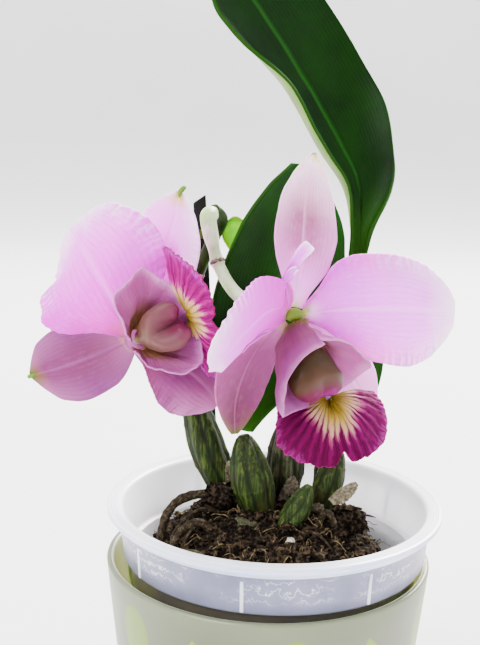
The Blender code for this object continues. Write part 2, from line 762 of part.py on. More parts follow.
def column_place(lip):
    """The broad hooded column, with a shallow cleft down its front towards the anther."""
    ahead, up, across = lip_axes(lip)
    widths = [(0, 2.0), (0.12, 2.6), (0.3, 5.4), (0.6, 9.0), (0.8, 9.8), (0.94, 7.8), (1.0, 4.6)]
    depths = [(0, 1.8), (0.12, 2.4), (0.3, 4.0), (0.6, 6.0), (0.8, 6.8), (0.94, 5.0), (1.0, 2.4)]
    bows = [(0, 0.0), (0.4, 0.6), (0.75, 0.2), (1.0, -2.8)]

    def place(turn, v):
        angle = math.tau * turn
        s = 1.6 + v * (lip["column_length"] - 1.6)
        cleft = 1.6 * math.exp(-((math.sin(angle) / 0.32) ** 2)) * smoothstep((v - 0.6) * 2.5)
        if math.cos(angle) < 0:
            cleft = 0.0
        x = math.sin(angle) * along(widths, v)
        h = math.cos(angle) * along(depths, v) - cleft
        if h < 0:
            h *= 0.6
        return ahead * s + across * x + up * (h + along(bows, v))

    return place


RIGHT_LIP = dict(
    dip=58.0,
    swing=-16.5,
    wrap=168.0,
    floor_share=0.6,
    roof_share=0.85,
    rim_left=[(0, 29.5), (0.3, 29.0), (0.45, 31.0), (0.62, 26.0), (0.8, 15.0), (1.0, 11.5)],
    rim_right=[(0, 29.5), (0.3, 28.0), (0.5, 27.0), (0.65, 21.0), (0.82, 13.0), (1.0, 10.5)],
    flare_left=[(0, 0.0), (0.3, 1.0), (0.5, 2.5), (0.7, 1.0), (1, 0.0)],
    flare_right=[(0, 0.0), (0.3, 3.0), (0.5, 8.0), (0.7, 7.0), (0.85, 2.0), (1, 0.0)],
    throat=(28.5, -7.7),
    shift=3.5,
    droop=22.0,
    tilt=-13.0,
    blade_length=21.5,
    blade_half_width=23.5,
    half_fan=104.0,
    wave_shift=0.4,
    curl=7.5,
    arch=2.0,
    column_length=28.0,
)

LEFT_LIP = dict(
    dip=48.0,
    swing=-12.0,
    wrap=168.0,
    floor_share=0.6,
    roof_share=0.85,
    rim_left=[(0, 27.5), (0.3, 27.0), (0.5, 26.0), (0.7, 18.0), (0.85, 12.0), (1.0, 10.0)],
    rim_right=[(0, 27.5), (0.3, 27.0), (0.5, 27.0), (0.7, 22.0), (0.85, 15.0), (1.0, 10.0)],
    flare_left=[(0, 0.0), (0.3, 2.0), (0.5, 4.0), (0.7, 3.0), (1, 0.0)],
    flare_right=[(0, 0.0), (0.3, 3.0), (0.5, 8.0), (0.72, 8.0), (0.86, 2.0), (1, 0.0)],
    throat=(25.0, -7.8),
    shift=0.8,
    droop=8.0,
    tilt=-24.0,
    blade_length=16.5,
    blade_half_width=27.0,
    half_fan=103.0,
    wave_shift=2.0,
    curl=2.0,
    arch=-1.5,
    column_length=26.0,
)


def make_bloom(side, tepals, turn, lip, parent, colours):
    bloom = bloom_empty(side + "_bloom", turn, parent)
    for name, spec in tepals.items():
        kind = "sepal" if "sepal" in name else "petal"
        columns = 6 if kind == "sepal" else 8
        sheet(name, blade_place(spec), columns, 11, TEPAL_THICK, colours[kind], bloom)
    whole_lip = sheet(side + "_lip", tube_place(lip), 22, 6, LIP_THICK, colours["lip"], bloom)
    blade = sheet(side + "_lip_blade", lip_blade_place(lip), 28, 6, LIP_THICK, colours["lip"], bloom)
    join_to(whole_lip, blade)
    wrapped(side + "_column", column_place(lip), 12, 8, colours["column"], bloom)


# Flower stem with its two stalks, the bract behind its bend, the stake and the tie

PEDUNCLE = [
    (-34.5, 14, 171.5),
    (-35, 13.5, 190),
    (-31, 11, 207),
    (-25.5, 9.5, 221),
    (-21.8, 7, 229.5),
    (-25, 2.5, 233),
]
RIGHT_STALK = [
    (-24.5, 5, 232),
    (-26.5, -1.5, 231),
    (-25, -5, 223.5),
    (-22, -8, 214),
    (-16, -11.5, 205.5),
    (-7, -16, 201),
    (1, -21.6, 200.4),
]
LEFT_STALK = [(-33, 12, 201.5), (-37, 7, 200.5), (-43.5, 1.0, 195), (-49.8, -7.2, 188.6)]
BRACT = dict(
    base=(-15.6, 14.6, 216.0),
    angle=96.0,
    length=14.5,
    width=9.5,
    lean=[(0, -12), (0.5, 20), (1, 70)],
    outline=[(0, 0.3), (0.2, 0.75), (0.5, 1.0), (0.8, 0.8), (1, 0.3)],
    cup_left=[(0, 1.2), (1, 0.9)],
    cup_right=[(0, 1.2), (1, 0.9)],
)


def make_stems(material, parent):
    peduncle = stem("flower_stem", PEDUNCLE, [(0, 2.4), (0.8, 2.2), (1, 2.8)], 8, 18, material, parent)
    right_radii = [(0, 2.2), (0.12, 3.1), (0.3, 2.8), (0.42, 2.1)]
    right_radii += [(0.46, 2.5), (0.5, 2.2), (0.8, 2.5), (1, 2.3)]
    right = stem("right_flower_stalk", RIGHT_STALK, right_radii, 8, 18, material, parent)
    left = stem("left_flower_stalk", LEFT_STALK, [(0, 1.7), (0.4, 2.1), (1, 2.3)], 8, 10, material, parent)
    join_to(peduncle, right)
    join_to(peduncle, left)
    sheet("bract", blade_place(BRACT), 6, 7, TEPAL_THICK, material, parent)


STAKE_FOOT = (-23.0, 21.5, 112.0)
STAKE_HEAD = (-30.6, 19.0, 236.0)
STAKE_WIDTH = 4.6
STAKE_DEPTH = 3.4
STAKE_SLANT = 1.6  # the head is cut off obliquely
TIE_Z = 223.0
TIE_HEIGHT = 3.4
TIE_WALL = 1.3


def stake_bar(name, grow, slant, material, parent):
    foot, head = Vector(STAKE_FOOT), Vector(STAKE_HEAD)
    bm = bmesh.new()
    bmesh.ops.create_cube(bm, size=1.0)
    for vert in bm.verts:
        top = vert.co.z > 0
        x = vert.co.x * (STAKE_WIDTH + 2 * grow)
        y = vert.co.y * (STAKE_DEPTH + 2 * grow)
        z = slant * vert.co.x * 2 if top else -2 * grow
        vert.co = ((head if top else foot) + Vector((x, y, z))) * MM
    return link_mesh(name, bm, material, parent)


def make_stake(material, tie_material, parent, medium):
    """The slanted stake in its hole in the medium, and the clip that slides on it and holds the stem."""
    stake_bar("stake", 0.0, STAKE_SLANT, material, parent)
    hole = stake_bar("stake_hole", GAP, 0.0, material, parent)
    cut_with(medium, hole)
    foot, head = Vector(STAKE_FOOT), Vector(STAKE_HEAD)
    centre = foot.lerp(head, (TIE_Z - foot.z) / (head.z - foot.z))
    bm = bmesh.new()
    bmesh.ops.create_cube(bm, size=1.0)
    wall = 2 * (GAP + TIE_WALL)
    size = Vector((STAKE_WIDTH + wall, STAKE_DEPTH + wall, TIE_HEIGHT))
    for vert in bm.verts:
        vert.co = (centre + vert.co * size) * MM
    tie = link_mesh("plant_tie", bm, tie_material, parent)
    cut_with(tie, hole)


def main():
    clear_scene()
    paint = {
        "cachepot": plain_material("frosted_glass", (0.72, 0.8, 0.66), 0.45),
        "pot": plain_material("milky_polypropylene", (0.86, 0.88, 0.92), 0.35),
        "medium": plain_material("bark_and_fibre", (0.085, 0.05, 0.03), 0.95),
        "bulb": plain_material("pseudobulb_skin", (0.13, 0.18, 0.06), 0.6),
        "root": plain_material("root_velamen", (0.3, 0.26, 0.15), 0.8),
        "leaf": plain_material("leaf_green", (0.03, 0.12, 0.015), 0.4),
        "dry": plain_material("dry_sheath_tan", (0.36, 0.28, 0.16), 0.7),
        "stem": plain_material("stem_green", (0.36, 0.5, 0.2), 0.5),
        "stake": plain_material("stake_green", (0.015, 0.03, 0.02), 0.5),
        "tie": plain_material("tie_olive", (0.26, 0.28, 0.09), 0.5),
        "sepal": plain_material("sepal_pink", (0.75, 0.42, 0.66), 0.5),
        "petal": plain_material("petal_pink", (0.83, 0.52, 0.8), 0.5),
        "lip": plain_material("lip_magenta", (0.6, 0.06, 0.34), 0.5),
        "column": plain_material("column_olive", (0.33, 0.2, 0.15), 0.5),
    }
    inside = bpy.data.objects.new("inner_pot_axis", None)
    bpy.context.scene.collection.objects.link(inside)
    inside.location.x = POT_SHIFT_X * MM
    bpy.context.view_layer.update()

    make_cachepot(paint["cachepot"])
    make_inner_pot(paint["pot"], inside)
    medium = make_medium(paint["medium"], inside)
    make_bulbs(paint["bulb"], inside, medium)
    make_roots(paint["root"], inside, medium)
    make_leaves(paint["leaf"], paint["dry"], inside)
    make_stems(paint["stem"], inside)
    make_stake(paint["stake"], paint["tie"], inside, medium)
    make_bloom("right", RIGHT_TEPALS, RIGHT_BLOOM, RIGHT_LIP, inside, paint)
    make_bloom("left", LEFT_TEPALS, LEFT_BLOOM, LEFT_LIP, inside, paint)


main()
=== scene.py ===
import math
import random
from functools import partial

import bmesh
import bpy
from mathutils import Matrix, Vector, noise


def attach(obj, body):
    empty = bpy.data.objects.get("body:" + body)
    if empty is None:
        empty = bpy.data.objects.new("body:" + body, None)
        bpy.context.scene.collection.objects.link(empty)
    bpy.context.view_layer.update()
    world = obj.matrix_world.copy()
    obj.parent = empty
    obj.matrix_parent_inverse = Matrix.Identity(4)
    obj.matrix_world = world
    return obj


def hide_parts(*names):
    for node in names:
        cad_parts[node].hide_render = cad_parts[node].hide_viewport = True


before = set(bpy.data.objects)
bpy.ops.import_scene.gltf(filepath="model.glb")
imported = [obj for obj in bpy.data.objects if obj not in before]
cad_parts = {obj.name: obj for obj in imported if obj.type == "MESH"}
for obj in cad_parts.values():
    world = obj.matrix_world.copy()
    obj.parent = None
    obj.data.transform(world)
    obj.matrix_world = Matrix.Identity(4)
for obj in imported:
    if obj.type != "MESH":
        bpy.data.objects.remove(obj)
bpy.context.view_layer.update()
mm = 0.001
potAxis = Vector((0.002, 0.0, 0.0))  # the inner pot and the plant stand 2 mm off the outer pot's middle


def linear(hexColour):
    parts = [int(hexColour[i : i + 2], 16) / 255 for i in (1, 3, 5)]
    return (*(c / 12.92 if c <= 0.04045 else ((c + 0.055) / 1.055) ** 2.4 for c in parts), 1.0)


def smoothStep(x):
    x = min(max(x, 0.0), 1.0)
    return x * x * (3 - 2 * x)


def stationValue(stations, t):
    if t <= stations[0][0]:
        return stations[0][1]
    for (t0, a), (t1, b) in zip(stations, stations[1:]):
        if t <= t1:
            return a + (b - a) * smoothStep((t - t0) / (t1 - t0))
    return stations[-1][1]


def smoothValue(stations, t):
    # a smooth curve through the stations that never swings past them
    if not stations[0][0] < t < stations[-1][0]:
        return stations[0][1] if t <= stations[0][0] else stations[-1][1]
    slopes = [(b[1] - a[1]) / (b[0] - a[0]) for a, b in zip(stations, stations[1:])]
    i = next(k for k, (at, _) in enumerate(stations) if t <= at) - 1
    (t0, a), (t1, b) = stations[i], stations[i + 1]

    def bend(k):
        if k in (0, len(slopes)):
            return slopes[min(k, len(slopes) - 1)]
        before, after = slopes[k - 1], slopes[k]
        return 0.0 if before * after <= 0 else 2 * before * after / (before + after)

    f, m0, m1 = (t - t0) / (t1 - t0), bend(i) * (t1 - t0), bend(i + 1) * (t1 - t0)
    return a + f * (m0 + f * (3 * (b - a) - 2 * m0 - m1 + f * (m0 + m1 - 2 * (b - a))))


def curvePoint(points, t):
    last = len(points) - 1
    place = min(max(t, 0.0), 1.0) * last
    i = min(int(place), last - 1)
    f = place - i
    p = [Vector(points[min(max(k, 0), last)]) for k in (i - 1, i, i + 1, i + 2)]
    bend = 2 * p[0] - 5 * p[1] + 4 * p[2] - p[3]
    return 0.5 * (2 * p[1] + (p[2] - p[0]) * f + bend * f * f + (3 * p[1] - p[0] - 3 * p[2] + p[3]) * f**3)


def toWorld(point):
    return Vector(point) * mm + potAxis


def grain(x, y, z, size, seed=0.0):
    # smooth noise from -1 to 1 whose features are about size mm across
    return noise.noise(Vector((x / size + seed, y / size - seed, z / size + 0.37 * seed)))


def finishPiece(name, bm, materials, nodes, sharp=70.0):
    mesh = bpy.data.meshes.new(name)
    bm.to_mesh(mesh)
    bm.free()
    mesh.shade_smooth()
    mesh.set_sharp_from_angle(angle=math.radians(sharp))
    for material in materials:
        mesh.materials.append(material)
    piece = bpy.data.objects.new(name, mesh)
    bpy.context.scene.collection.objects.link(piece)
    if nodes:
        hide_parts(*nodes)
    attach(piece, "root")
    return piece


def newGrid(columns, rows, place, turn=None):
    # a grid with its own blade map, u across and v along, laid on place(u, v)
    bm = bmesh.new()
    bm.loops.layers.uv.new("blade")
    bmesh.ops.create_grid(bm, x_segments=columns, y_segments=rows, size=0.5, calc_uvs=True)
    for vert in bm.verts:
        point = Vector(place(vert.co.x + 0.5, vert.co.y + 0.5))
        vert.co = toWorld(turn @ point if turn else point)
    return bm


def thinSheet(name, place, columns, rows, thickness, materials, nodes, slotName, turn=None):
    piece = finishPiece(name, newGrid(columns, rows, place, turn), materials, nodes)
    wall = piece.modifiers.new("thickness", "SOLIDIFY")
    wall.thickness = thickness * mm
    wall.offset = 0.0
    wall.use_even_offset = False
    wall.material_offset = len(materials) - 1
    return piece


def closeBody(bm):
    bmesh.ops.holes_fill(bm, edges=[e for e in bm.edges if e.is_boundary])
    bmesh.ops.recalc_face_normals(bm, faces=bm.faces[:])


def roundBody(name, place, sides, rows, materials, nodes, turn=None, sharp=70.0):
    bm = newGrid(sides, rows, place, turn)
    bmesh.ops.remove_doubles(bm, verts=bm.verts[:], dist=0.01 * mm)
    closeBody(bm)
    return finishPiece(name, bm, materials, nodes, sharp)


def crossFrame(path, t, up):
    here = path(t)
    ahead = (path(min(t + 0.004, 1)) - path(max(t - 0.004, 0))).normalized()
    if abs(ahead.dot(up)) > 0.9:
        up = Vector((0, 1, 0))
    side = ahead.cross(up).normalized()
    return here, side, side.cross(ahead).normalized()


def stemPlace(points, radii, up=Vector((0.3, 0.9, 0.2)), rough=0.0, flute=0.0):
    up = up.normalized()

    def place(turn, v):
        here, side, other = crossFrame(lambda t: curvePoint(points, t), v, up)
        angle = math.tau * turn
        r = stationValue(radii, v)
        if rough:
            knot = grain(here.x + 3 * math.cos(angle), here.y + 3 * math.sin(angle), here.z, 2.2)
            r *= 1 + rough * knot
        r *= 1 + flute * math.cos(6 * angle)
        return here + (side * math.cos(angle) + other * math.sin(angle)) * r

    return place


# Materials

def fillSockets(tree, node, values):
    # sets numbers, hex colours and links; a node given as a value stands for its first live output
    for key, value in values.items():
        if isinstance(value, bpy.types.Node):
            value = next(out for out in value.outputs if out.enabled)
        if isinstance(value, bpy.types.NodeSocket):
            tree.links.new(value, node.inputs[key])
        else:
            node.inputs[key].default_value = linear(value) if isinstance(value, str) else value


def addNode(tree, kind, links=None, stops=None, **settings):
    node = tree.nodes.new("ShaderNode" + kind)
    for key, value in settings.items():
        setattr(node, key, value)
    if stops:
        ramp = node.color_ramp.elements
        ramp[0].position, ramp[1].position = stops[0][0], stops[-1][0]
        for at, _ in stops[1:-1]:
            ramp.new(at)
        for element, (_, colour) in zip(ramp, stops):
            element.color = linear(colour)
    fillSockets(tree, node, links or {})
    return node


def newMaterial(name):
    material = bpy.data.materials.new(name)
    material.use_nodes = True
    return material, partial(addNode, material.node_tree)


def finishMaterial(material, colour, height, strength, depth, numbers):
    # its colour, a relief of that depth in metres, and the shader's own numbers
    tree = material.node_tree
    relief = addNode(tree, "Bump", {"Height": height, "Strength": strength, "Distance": depth})
    fillSockets(tree, tree.nodes["Principled BSDF"], {"Base Color": colour, "Normal": relief, **numbers})
    return material


def soak(weight, radius, scale):
    # light that soaks in: how much of it, how far each colour goes, and the scale in metres
    return {"Subsurface Weight": weight, "Subsurface Radius": radius, "Subsurface Scale": scale}


def bladeMap(add):
    # across and along a piece by its own map, and the place in space
    split = add("SeparateXYZ", {"Vector": add("UVMap", uv_map="blade")})
    return split.outputs["X"], split.outputs["Y"], add("TexCoord").outputs["Object"]


def fromMiddle(add, across):
    middle = add("Math", {0: across, 1: 0.5}, operation="SUBTRACT")
    return add("Math", {0: middle}, operation="ABSOLUTE")


def threads(add, lane, count, low, high):
    # count threads side by side over a lane, cut off below low
    wave = add("Math", {0: lane, 1: count * math.tau}, operation="MULTIPLY")
    wave = add("Math", {0: wave}, operation="SINE")
    return add("MapRange", {"Value": wave, "From Min": low, "From Max": high})


def layered(add, colour, layers):
    # lays colours over one another, each by its mask and its share
    for mask, share, tone in layers:
        if share != 1.0:
            mask = add("Math", {0: mask, 1: share}, operation="MULTIPLY")
        colour = add("Mix", {0: mask, 6: colour, 7: tone}, data_type="RGBA")
    return colour


# Living petal: a thin, water-filled blade with a velvet skin. It glows when light falls through it,
# shows fine veins that fan from its base, and has no hard gloss.
def petalTissue(name, look):
    material, add = newMaterial(name)
    across, along, place = bladeMap(add)
    cloud = add("TexNoise", {"Vector": place, "Scale": 1000 / 8.0, "Detail": 4.0})
    patch = add("TexNoise", {"Vector": place, "Scale": 1000 / 2.6, "Detail": 3.0})
    cells = add("TexNoise", {"Vector": place, "Scale": 1000 / 0.5, "Detail": 1.0})
    # veins wander, and fade in and out
    bend = add("Math", {0: cloud, 1: 0.07}, operation="MULTIPLY")
    lane = add("Math", {0: across, 1: bend}, operation="ADD")
    vein = threads(add, lane, look["veins"], 0.2, 1.0)
    fade = add("MapRange", {"Value": patch, "From Min": 0.35, "From Max": 0.65})
    vein = add("Math", {0: vein, 1: fade}, operation="MULTIPLY")
    reach = fromMiddle(add, across)
    edge = add("MapRange", {"Value": reach, "From Min": 0.12, "From Max": 0.44})
    rib = add("MapRange", {"Value": reach, "From Min": 0.035, "From Max": 0.0})
    wobble = add("MapRange", {"Value": cloud, "To Min": -0.09, "To Max": 0.09})
    station = add("Math", {0: along, 1: wobble}, operation="ADD")
    run = add("ValToRGB", {"Fac": station}, stops=look["run"])
    margin = add("ValToRGB", {"Fac": station}, stops=look["margin"])
    pale = add("MapRange", {"Value": patch, "From Min": 0.45, "To Max": 0.35})
    # light catches the small folds that cross the outer margin
    cross = add("Math", {0: station, 1: 19 * math.tau}, operation="MULTIPLY")
    cross = add("Math", {0: cross}, operation="SINE")
    outermost = add("MapRange", {"Value": reach, "From Min": 0.32, "From Max": 0.5})
    outer = add("MapRange", {"Value": along, "From Min": 0.45, "From Max": 0.65})
    frill = add("Math", {0: cross, 1: outermost}, operation="MULTIPLY")
    frill = add("Math", {0: frill, 1: outer}, operation="MULTIPLY", use_clamp=True)
    layers = [(edge, 1.0, margin), (pale, 1.0, look["pale"]), (vein, look["veinShare"], look["vein"])]
    layers += [(rib, 0.55, look["pale"]), (frill, look["frill"], look["crest"])]
    height = add("Math", {0: vein, 1: cells}, operation="ADD")
    numbers = {
        "Roughness": 0.55, "Specular IOR Level": 0.12, **soak(look["glow"], (1.0, 0.55, 0.85), 0.0016)
    }
    return finishMaterial(material, layered(add, run, layers), height, 0.3, 0.0001, numbers)


# run is the colour along the middle from base to tip, margin the same along the edges
petalLook = dict(
    veins=21,
    glow=0.6,
    run=[
        (0.0, "#98B020"), (0.05, "#F4B4EC"), (0.14, "#EE58EE"), (0.4, "#F064FE"), (0.8, "#F284FE"),
        (1.0, "#FCE8FE"),
    ],
    margin=[
        (0.0, "#C030B0"), (0.1, "#CC0CC8"), (0.28, "#DC1CDC"), (0.45, "#E050D0"), (0.6, "#E878E0"),
        (0.85, "#F8B4FA"), (1.0, "#FCF0FE"),
    ],
    pale="#F8B8FA",
    vein="#C22CCC",
    veinShare=0.28,
    frill=0.5,
    crest="#FCF0FE",
)
# the dip to darker mauve in the middle of the run is painted shade where the sepal cups
dorsalLook = dict(
    petalLook,
    veins=17,
    run=[
        (0.0, "#B8C850"), (0.07, "#F4A8F0"), (0.2, "#EC84E4"), (0.4, "#B45C9C"), (0.58, "#A05880"),
        (0.78, "#DCA8C0"), (0.92, "#F4E0EC"), (0.97, "#E0DCA0"), (1.0, "#A8B448"),
    ],
    margin=[(0.0, "#E884DC"), (0.2, "#E478D8"), (0.5, "#CC80B8"), (0.85, "#F0CCE0"), (1.0, "#D9D8A0")],
    pale="#E8B0DC",
    frill=0.0,
    vein="#8C3C70",
)
# a darker, duller copy of the sepal tissue: painted shade on the sepals that lie in shade
sepalLook = dict(
    petalLook,
    veins=17,
    run=[
        (0.0, "#C8C870"), (0.08, "#DC78C4"), (0.3, "#A03C84"), (0.7, "#78345C"), (0.94, "#6C3448"),
        (1.0, "#506810"),
    ],
    margin=[(0.0, "#B8549C"), (0.3, "#A04488"), (0.8, "#8C3C70"), (1.0, "#6C6428")],
    pale="#C470A8",
    vein="#682450",
    frill=0.0,
)
farSepal = dict(
    sepalLook,
    run=[(0.0, "#DDE0A0"), (0.15, "#EC9CE0"), (0.5, "#F0A0E4"), (1.0, "#EC9CD0")],
    margin=[(0.0, "#DD80C6"), (0.4, "#F0A8E8"), (1.0, "#F0A0DC")],
    pale="#F8D0F4",
)
shadedPetal = dict(
    petalLook,
    run=[
        (0.0, "#8C9830"), (0.06, "#C85098"), (0.18, "#D41CC4"), (0.5, "#E22CDC"), (0.85, "#F070EE"),
        (1.0, "#FAD0FC"),
    ],
    margin=[(0.0, "#A83C84"), (0.15, "#C80CB8"), (0.4, "#DC18D4"), (0.7, "#EC5CE8"), (1.0, "#FADCFC")],
    pale="#F08CF0",
    vein="#A81CA8",
)
# a darker mauve copy of the petal tissue for the left bloom's lower petal: painted shade
lowPetal = dict(
    sepalLook,
    run=[(0.0, "#8C8030"), (0.1, "#7C3460"), (0.5, "#783068"), (1.0, "#A85890")],
    margin=[(0.0, "#783058"), (0.5, "#8A3C78"), (1.0, "#B870A8")],
    pale="#A85C94",
    vein="#581C48",
)
paleUpper = dict(
    petalLook,
    run=[
        (0.0, "#A8A850"), (0.12, "#D058B8"), (0.5, "#EC78EA"), (0.85, "#F4A8F4"), (0.95, "#C8C464"),
        (1.0, "#7C9818"),
    ],
    margin=[(0.0, "#C05CA0"), (0.5, "#F09CF0"), (1.0, "#F8DCF8")],
)
# a darker copy of the sepal tissue for the left bloom's lower sepal: painted shade; its green tip is its
# own colour
greenTip = dict(
    sepalLook,
    run=[
        (0.0, "#A8A850"), (0.1, "#8C4878"), (0.45, "#6C3058"), (0.8, "#702C60"), (0.92, "#705030"),
        (1.0, "#4C6410"),
    ],
    margin=[(0.0, "#783C68"), (0.5, "#743470"), (0.9, "#9C5C8C"), (1.0, "#6C6828")],
    pale="#90508C",
    vein="#4C1840",
)

# an even, deeper magenta: painted shade in the folds of the margin
foldShadeLook = dict(
    shadedPetal,
    run=[(0.0, "#B83CA8"), (1.0, "#B83CA8")],
    margin=[(0.0, "#C84CB8"), (1.0, "#C84CB8")],
    pale="#D880D0",
    frill=0.0,
)


# Lip: the same living tissue, stained magenta by pigment in its skin, with darker veins that branch
# out to the crimped rim and a cream and yellow throat between them.
def lipTissue(name, look):
    material, add = newMaterial(name)
    across, along, place = bladeMap(add)
    cloud = add("TexNoise", {"Vector": place, "Scale": 1000 / 5.0, "Detail": 4.0})
    fine = add("TexNoise", {"Vector": place, "Scale": 1000 / 0.6, "Detail": 2.0})
    drift = add("Math", {0: cloud, 1: look["drift"]}, operation="MULTIPLY")
    lane = add("Math", {0: across, 1: drift}, operation="ADD")
    # thick veins from the throat, and finer ones between them towards the rim
    coarse = add("Math", {0: lane, 1: look["veins"] * math.tau}, operation="MULTIPLY")
    coarse = add("Math", {0: coarse}, operation="SINE")
    thin = add("Math", {0: lane, 1: look["veins"] * 2 * math.tau}, operation="MULTIPLY")
    thin = add("Math", {0: thin}, operation="COSINE")
    outer = add("MapRange", {"Value": along, "From Min": 0.4, "From Max": 0.8, "To Max": 0.8})
    thin = add("Math", {0: thin, 1: outer}, operation="MULTIPLY")
    bundle = add("Math", {0: coarse, 1: thin}, operation="MAXIMUM")
    vein = add("MapRange", {"Value": bundle, "From Min": 0.1, "From Max": 0.95})
    # the pale throat reaches further out along the middle, and frays between the veins
    middle = add("Math", {0: across, 1: 0.5}, operation="SUBTRACT")
    square = add("Math", {0: middle, 1: 2.0}, operation="POWER")
    tongue = add("MapRange", {"Value": square, "From Max": 0.03, "To Min": look["tongue"], "To Max": 0.0})
    fray = add("MapRange", {"Value": vein, "To Min": -0.3 * look["fray"], "To Max": look["fray"]})
    mottle = add("MapRange", {"Value": cloud, "To Min": -0.08, "To Max": 0.08})
    station = add("Math", {0: along, 1: tongue}, operation="SUBTRACT")
    for shift in (fray, mottle):
        station = add("Math", {0: station, 1: shift}, operation="ADD")
    run = add("ValToRGB", {"Fac": station}, stops=look["run"])
    sunny = add("ValToRGB", {"Fac": station}, stops=look["sunny"] or look["run"])
    half = add("MapRange", {"Value": across, "From Min": 0.5, "From Max": 0.6})
    colour = layered(add, run, [(half, 1.0, sunny), (vein, look["veinShare"], look["vein"])])
    height = add("Math", {0: vein, 1: fine}, operation="SUBTRACT")
    numbers = {"Roughness": 0.55, "Specular IOR Level": 0.03, **soak(look["glow"], (1.0, 0.3, 0.6), 0.0012)}
    return finishMaterial(material, colour, height, 0.6, 0.00018, numbers)


# run is the colour from throat to rim, and sunny the same on the side that faces the light
midlobeLook = dict(
    veins=21,
    glow=0.3,
    drift=0.05,
    tongue=0.25,
    run=[
        (0.0, "#6C5808"), (0.16, "#A08434"), (0.34, "#A8806C"), (0.44, "#843454"), (0.52, "#5C003E"),
        (0.7, "#540036"), (0.95, "#5C003E"), (1.0, "#8C2070"),
    ],
    sunny=[
        (0.0, "#6C5808"), (0.16, "#A08434"), (0.34, "#B08870"), (0.44, "#903C64"), (0.52, "#68004C"),
        (0.7, "#600042"), (0.95, "#68004C"), (1.0, "#A03084"),
    ],
    vein="#24000E",
    veinShare=0.62,
    fray=0.1,
)
# a brighter copy of the lip tissue for the left bloom: painted light, where that bloom stands in brighter
# light than the right one
litMidlobeLook = dict(
    midlobeLook,
    run=[
        (0.0, "#7C6408"), (0.18, "#B0943C"), (0.36, "#C49478"), (0.45, "#AC3C80"), (0.52, "#940070"),
        (0.7, "#900068"), (0.95, "#9C0080"), (1.0, "#C83CC0"),
    ],
    sunny=None,
    vein="#400028",
)
midlobeBackLook = dict(
    midlobeLook,
    veinShare=0.3,
    tongue=0.1,
    run=[(0.0, "#846C30"), (0.3, "#843064"), (0.7, "#640840"), (1.0, "#8C2064")],
    sunny=None,
)
lobeInsideLook = dict(
    veins=15,
    glow=0.5,
    drift=0.04,
    tongue=0.0,
    fray=0.02,
    run=[(0.0, "#7C5C30"), (0.3, "#845044"), (0.6, "#8C4870"), (0.85, "#8C4078"), (1.0, "#A45898")],
    sunny=[(0.0, "#7C5C30"), (0.3, "#94604C"), (0.6, "#A05084"), (0.85, "#A44C8C"), (1.0, "#BC74AC")],
    vein="#60205C",
    veinShare=0.12,
)
lobeOutsideLook = dict(
    lobeInsideLook,
    run=[(0.0, "#605820"), (0.18, "#703C54"), (0.5, "#78385C"), (0.85, "#883E78"), (1.0, "#A86498")],
    sunny=[(0.0, "#706828"), (0.18, "#84405C"), (0.5, "#984C80"), (0.85, "#A44C90"), (1.0, "#BC74B0")],
)


# Column: waxy, thicker tissue with a soft gloss on its hood; its olive-brown and dull rose are painted
# shade, as it lies deep inside the lip, and the magenta towards its tip is its own colour.
def columnWax(name, stops):
    material, add = newMaterial(name)
    across, along, place = bladeMap(add)
    cloud = add("TexNoise", {"Vector": place, "Scale": 1000 / 6.0, "Detail": 3.0})
    mottle = add("MapRange", {"Value": cloud, "To Min": -0.1, "To Max": 0.1})
    station = add("Math", {0: along, 1: mottle}, operation="ADD")
    run = add("ValToRGB", {"Fac": station}, stops=stops)
    skin = add("TexNoise", {"Vector": place, "Scale": 1000 / 0.8, "Detail": 2.0})
    numbers = {"Roughness": 0.42, "Specular IOR Level": 0.12, **soak(0.5, (1.0, 0.6, 0.4), 0.003)}
    return finishMaterial(material, run, skin, 0.3, 0.0001, numbers)


# Leaf: thick and leathery, a cuticle with a soft wax gloss over parallel veins, paler underneath.
def leafCuticle(name, look):
    material, add = newMaterial(name)
    across, along, place = bladeMap(add)
    cloud = add("TexNoise", {"Vector": place, "Scale": 1000 / 22.0, "Detail": 4.0})
    specks = add("TexNoise", {"Vector": place, "Scale": 1000 / 1.4, "Detail": 2.0})
    drift = add("Math", {0: cloud, 1: 0.02}, operation="MULTIPLY")
    lane = add("Math", {0: across, 1: drift}, operation="ADD")
    vein = threads(add, lane, 34, 0.3, 1.0)
    reach = fromMiddle(add, across)
    rib = add("MapRange", {"Value": reach, "From Min": 0.03, "From Max": 0.004})
    rim = add("MapRange", {"Value": reach, "From Min": 0.491, "From Max": 0.498})
    base = add("ValToRGB", {"Fac": cloud}, stops=look["cloud"])
    foot = add("MapRange", {"Value": along, "From Min": 0.22, "From Max": 0.0})
    layers = [(foot, 1.0, look["foot"]), (vein, 0.22, look["vein"])]
    layers += [(rib, 0.55, look["rib"]), (rim, 1.0, look["rim"])]
    height = add("Math", {0: vein, 1: specks}, operation="ADD")
    dull = add("MapRange", {"Value": specks, "To Min": look["gloss"], "To Max": look["gloss"] + 0.18})
    numbers = {"Roughness": dull, "Specular IOR Level": look["shine"]}
    numbers.update(soak(look["glow"], (0.5, 1.0, 0.15), 0.002))
    return finishMaterial(material, layered(add, base, layers), height, 0.25, 0.0002, numbers)


leafTopLook = dict(
    cloud=[(0.3, "#082804"), (0.7, "#104404")],
    foot="#245008",
    vein="#145008",
    rib="#206010",
    rim="#183C08",
    gloss=0.36,
    glow=0.03,
    shine=0.05,
)
# a darker copy of the upper cuticle for the tall leaf: painted shade
tallTopLook = dict(leafTopLook, cloud=[(0.3, "#041602"), (0.7, "#082802")], vein="#0C3403", rib="#185010")
leafUnderLook = dict(
    cloud=[(0.3, "#486820"), (0.7, "#688838")],
    foot="#8CA450",
    vein="#587830",
    rib="#8CA458",
    rim="#6C8C34",
    gloss=0.45,
    glow=0.3,
    shine=0.3,
)
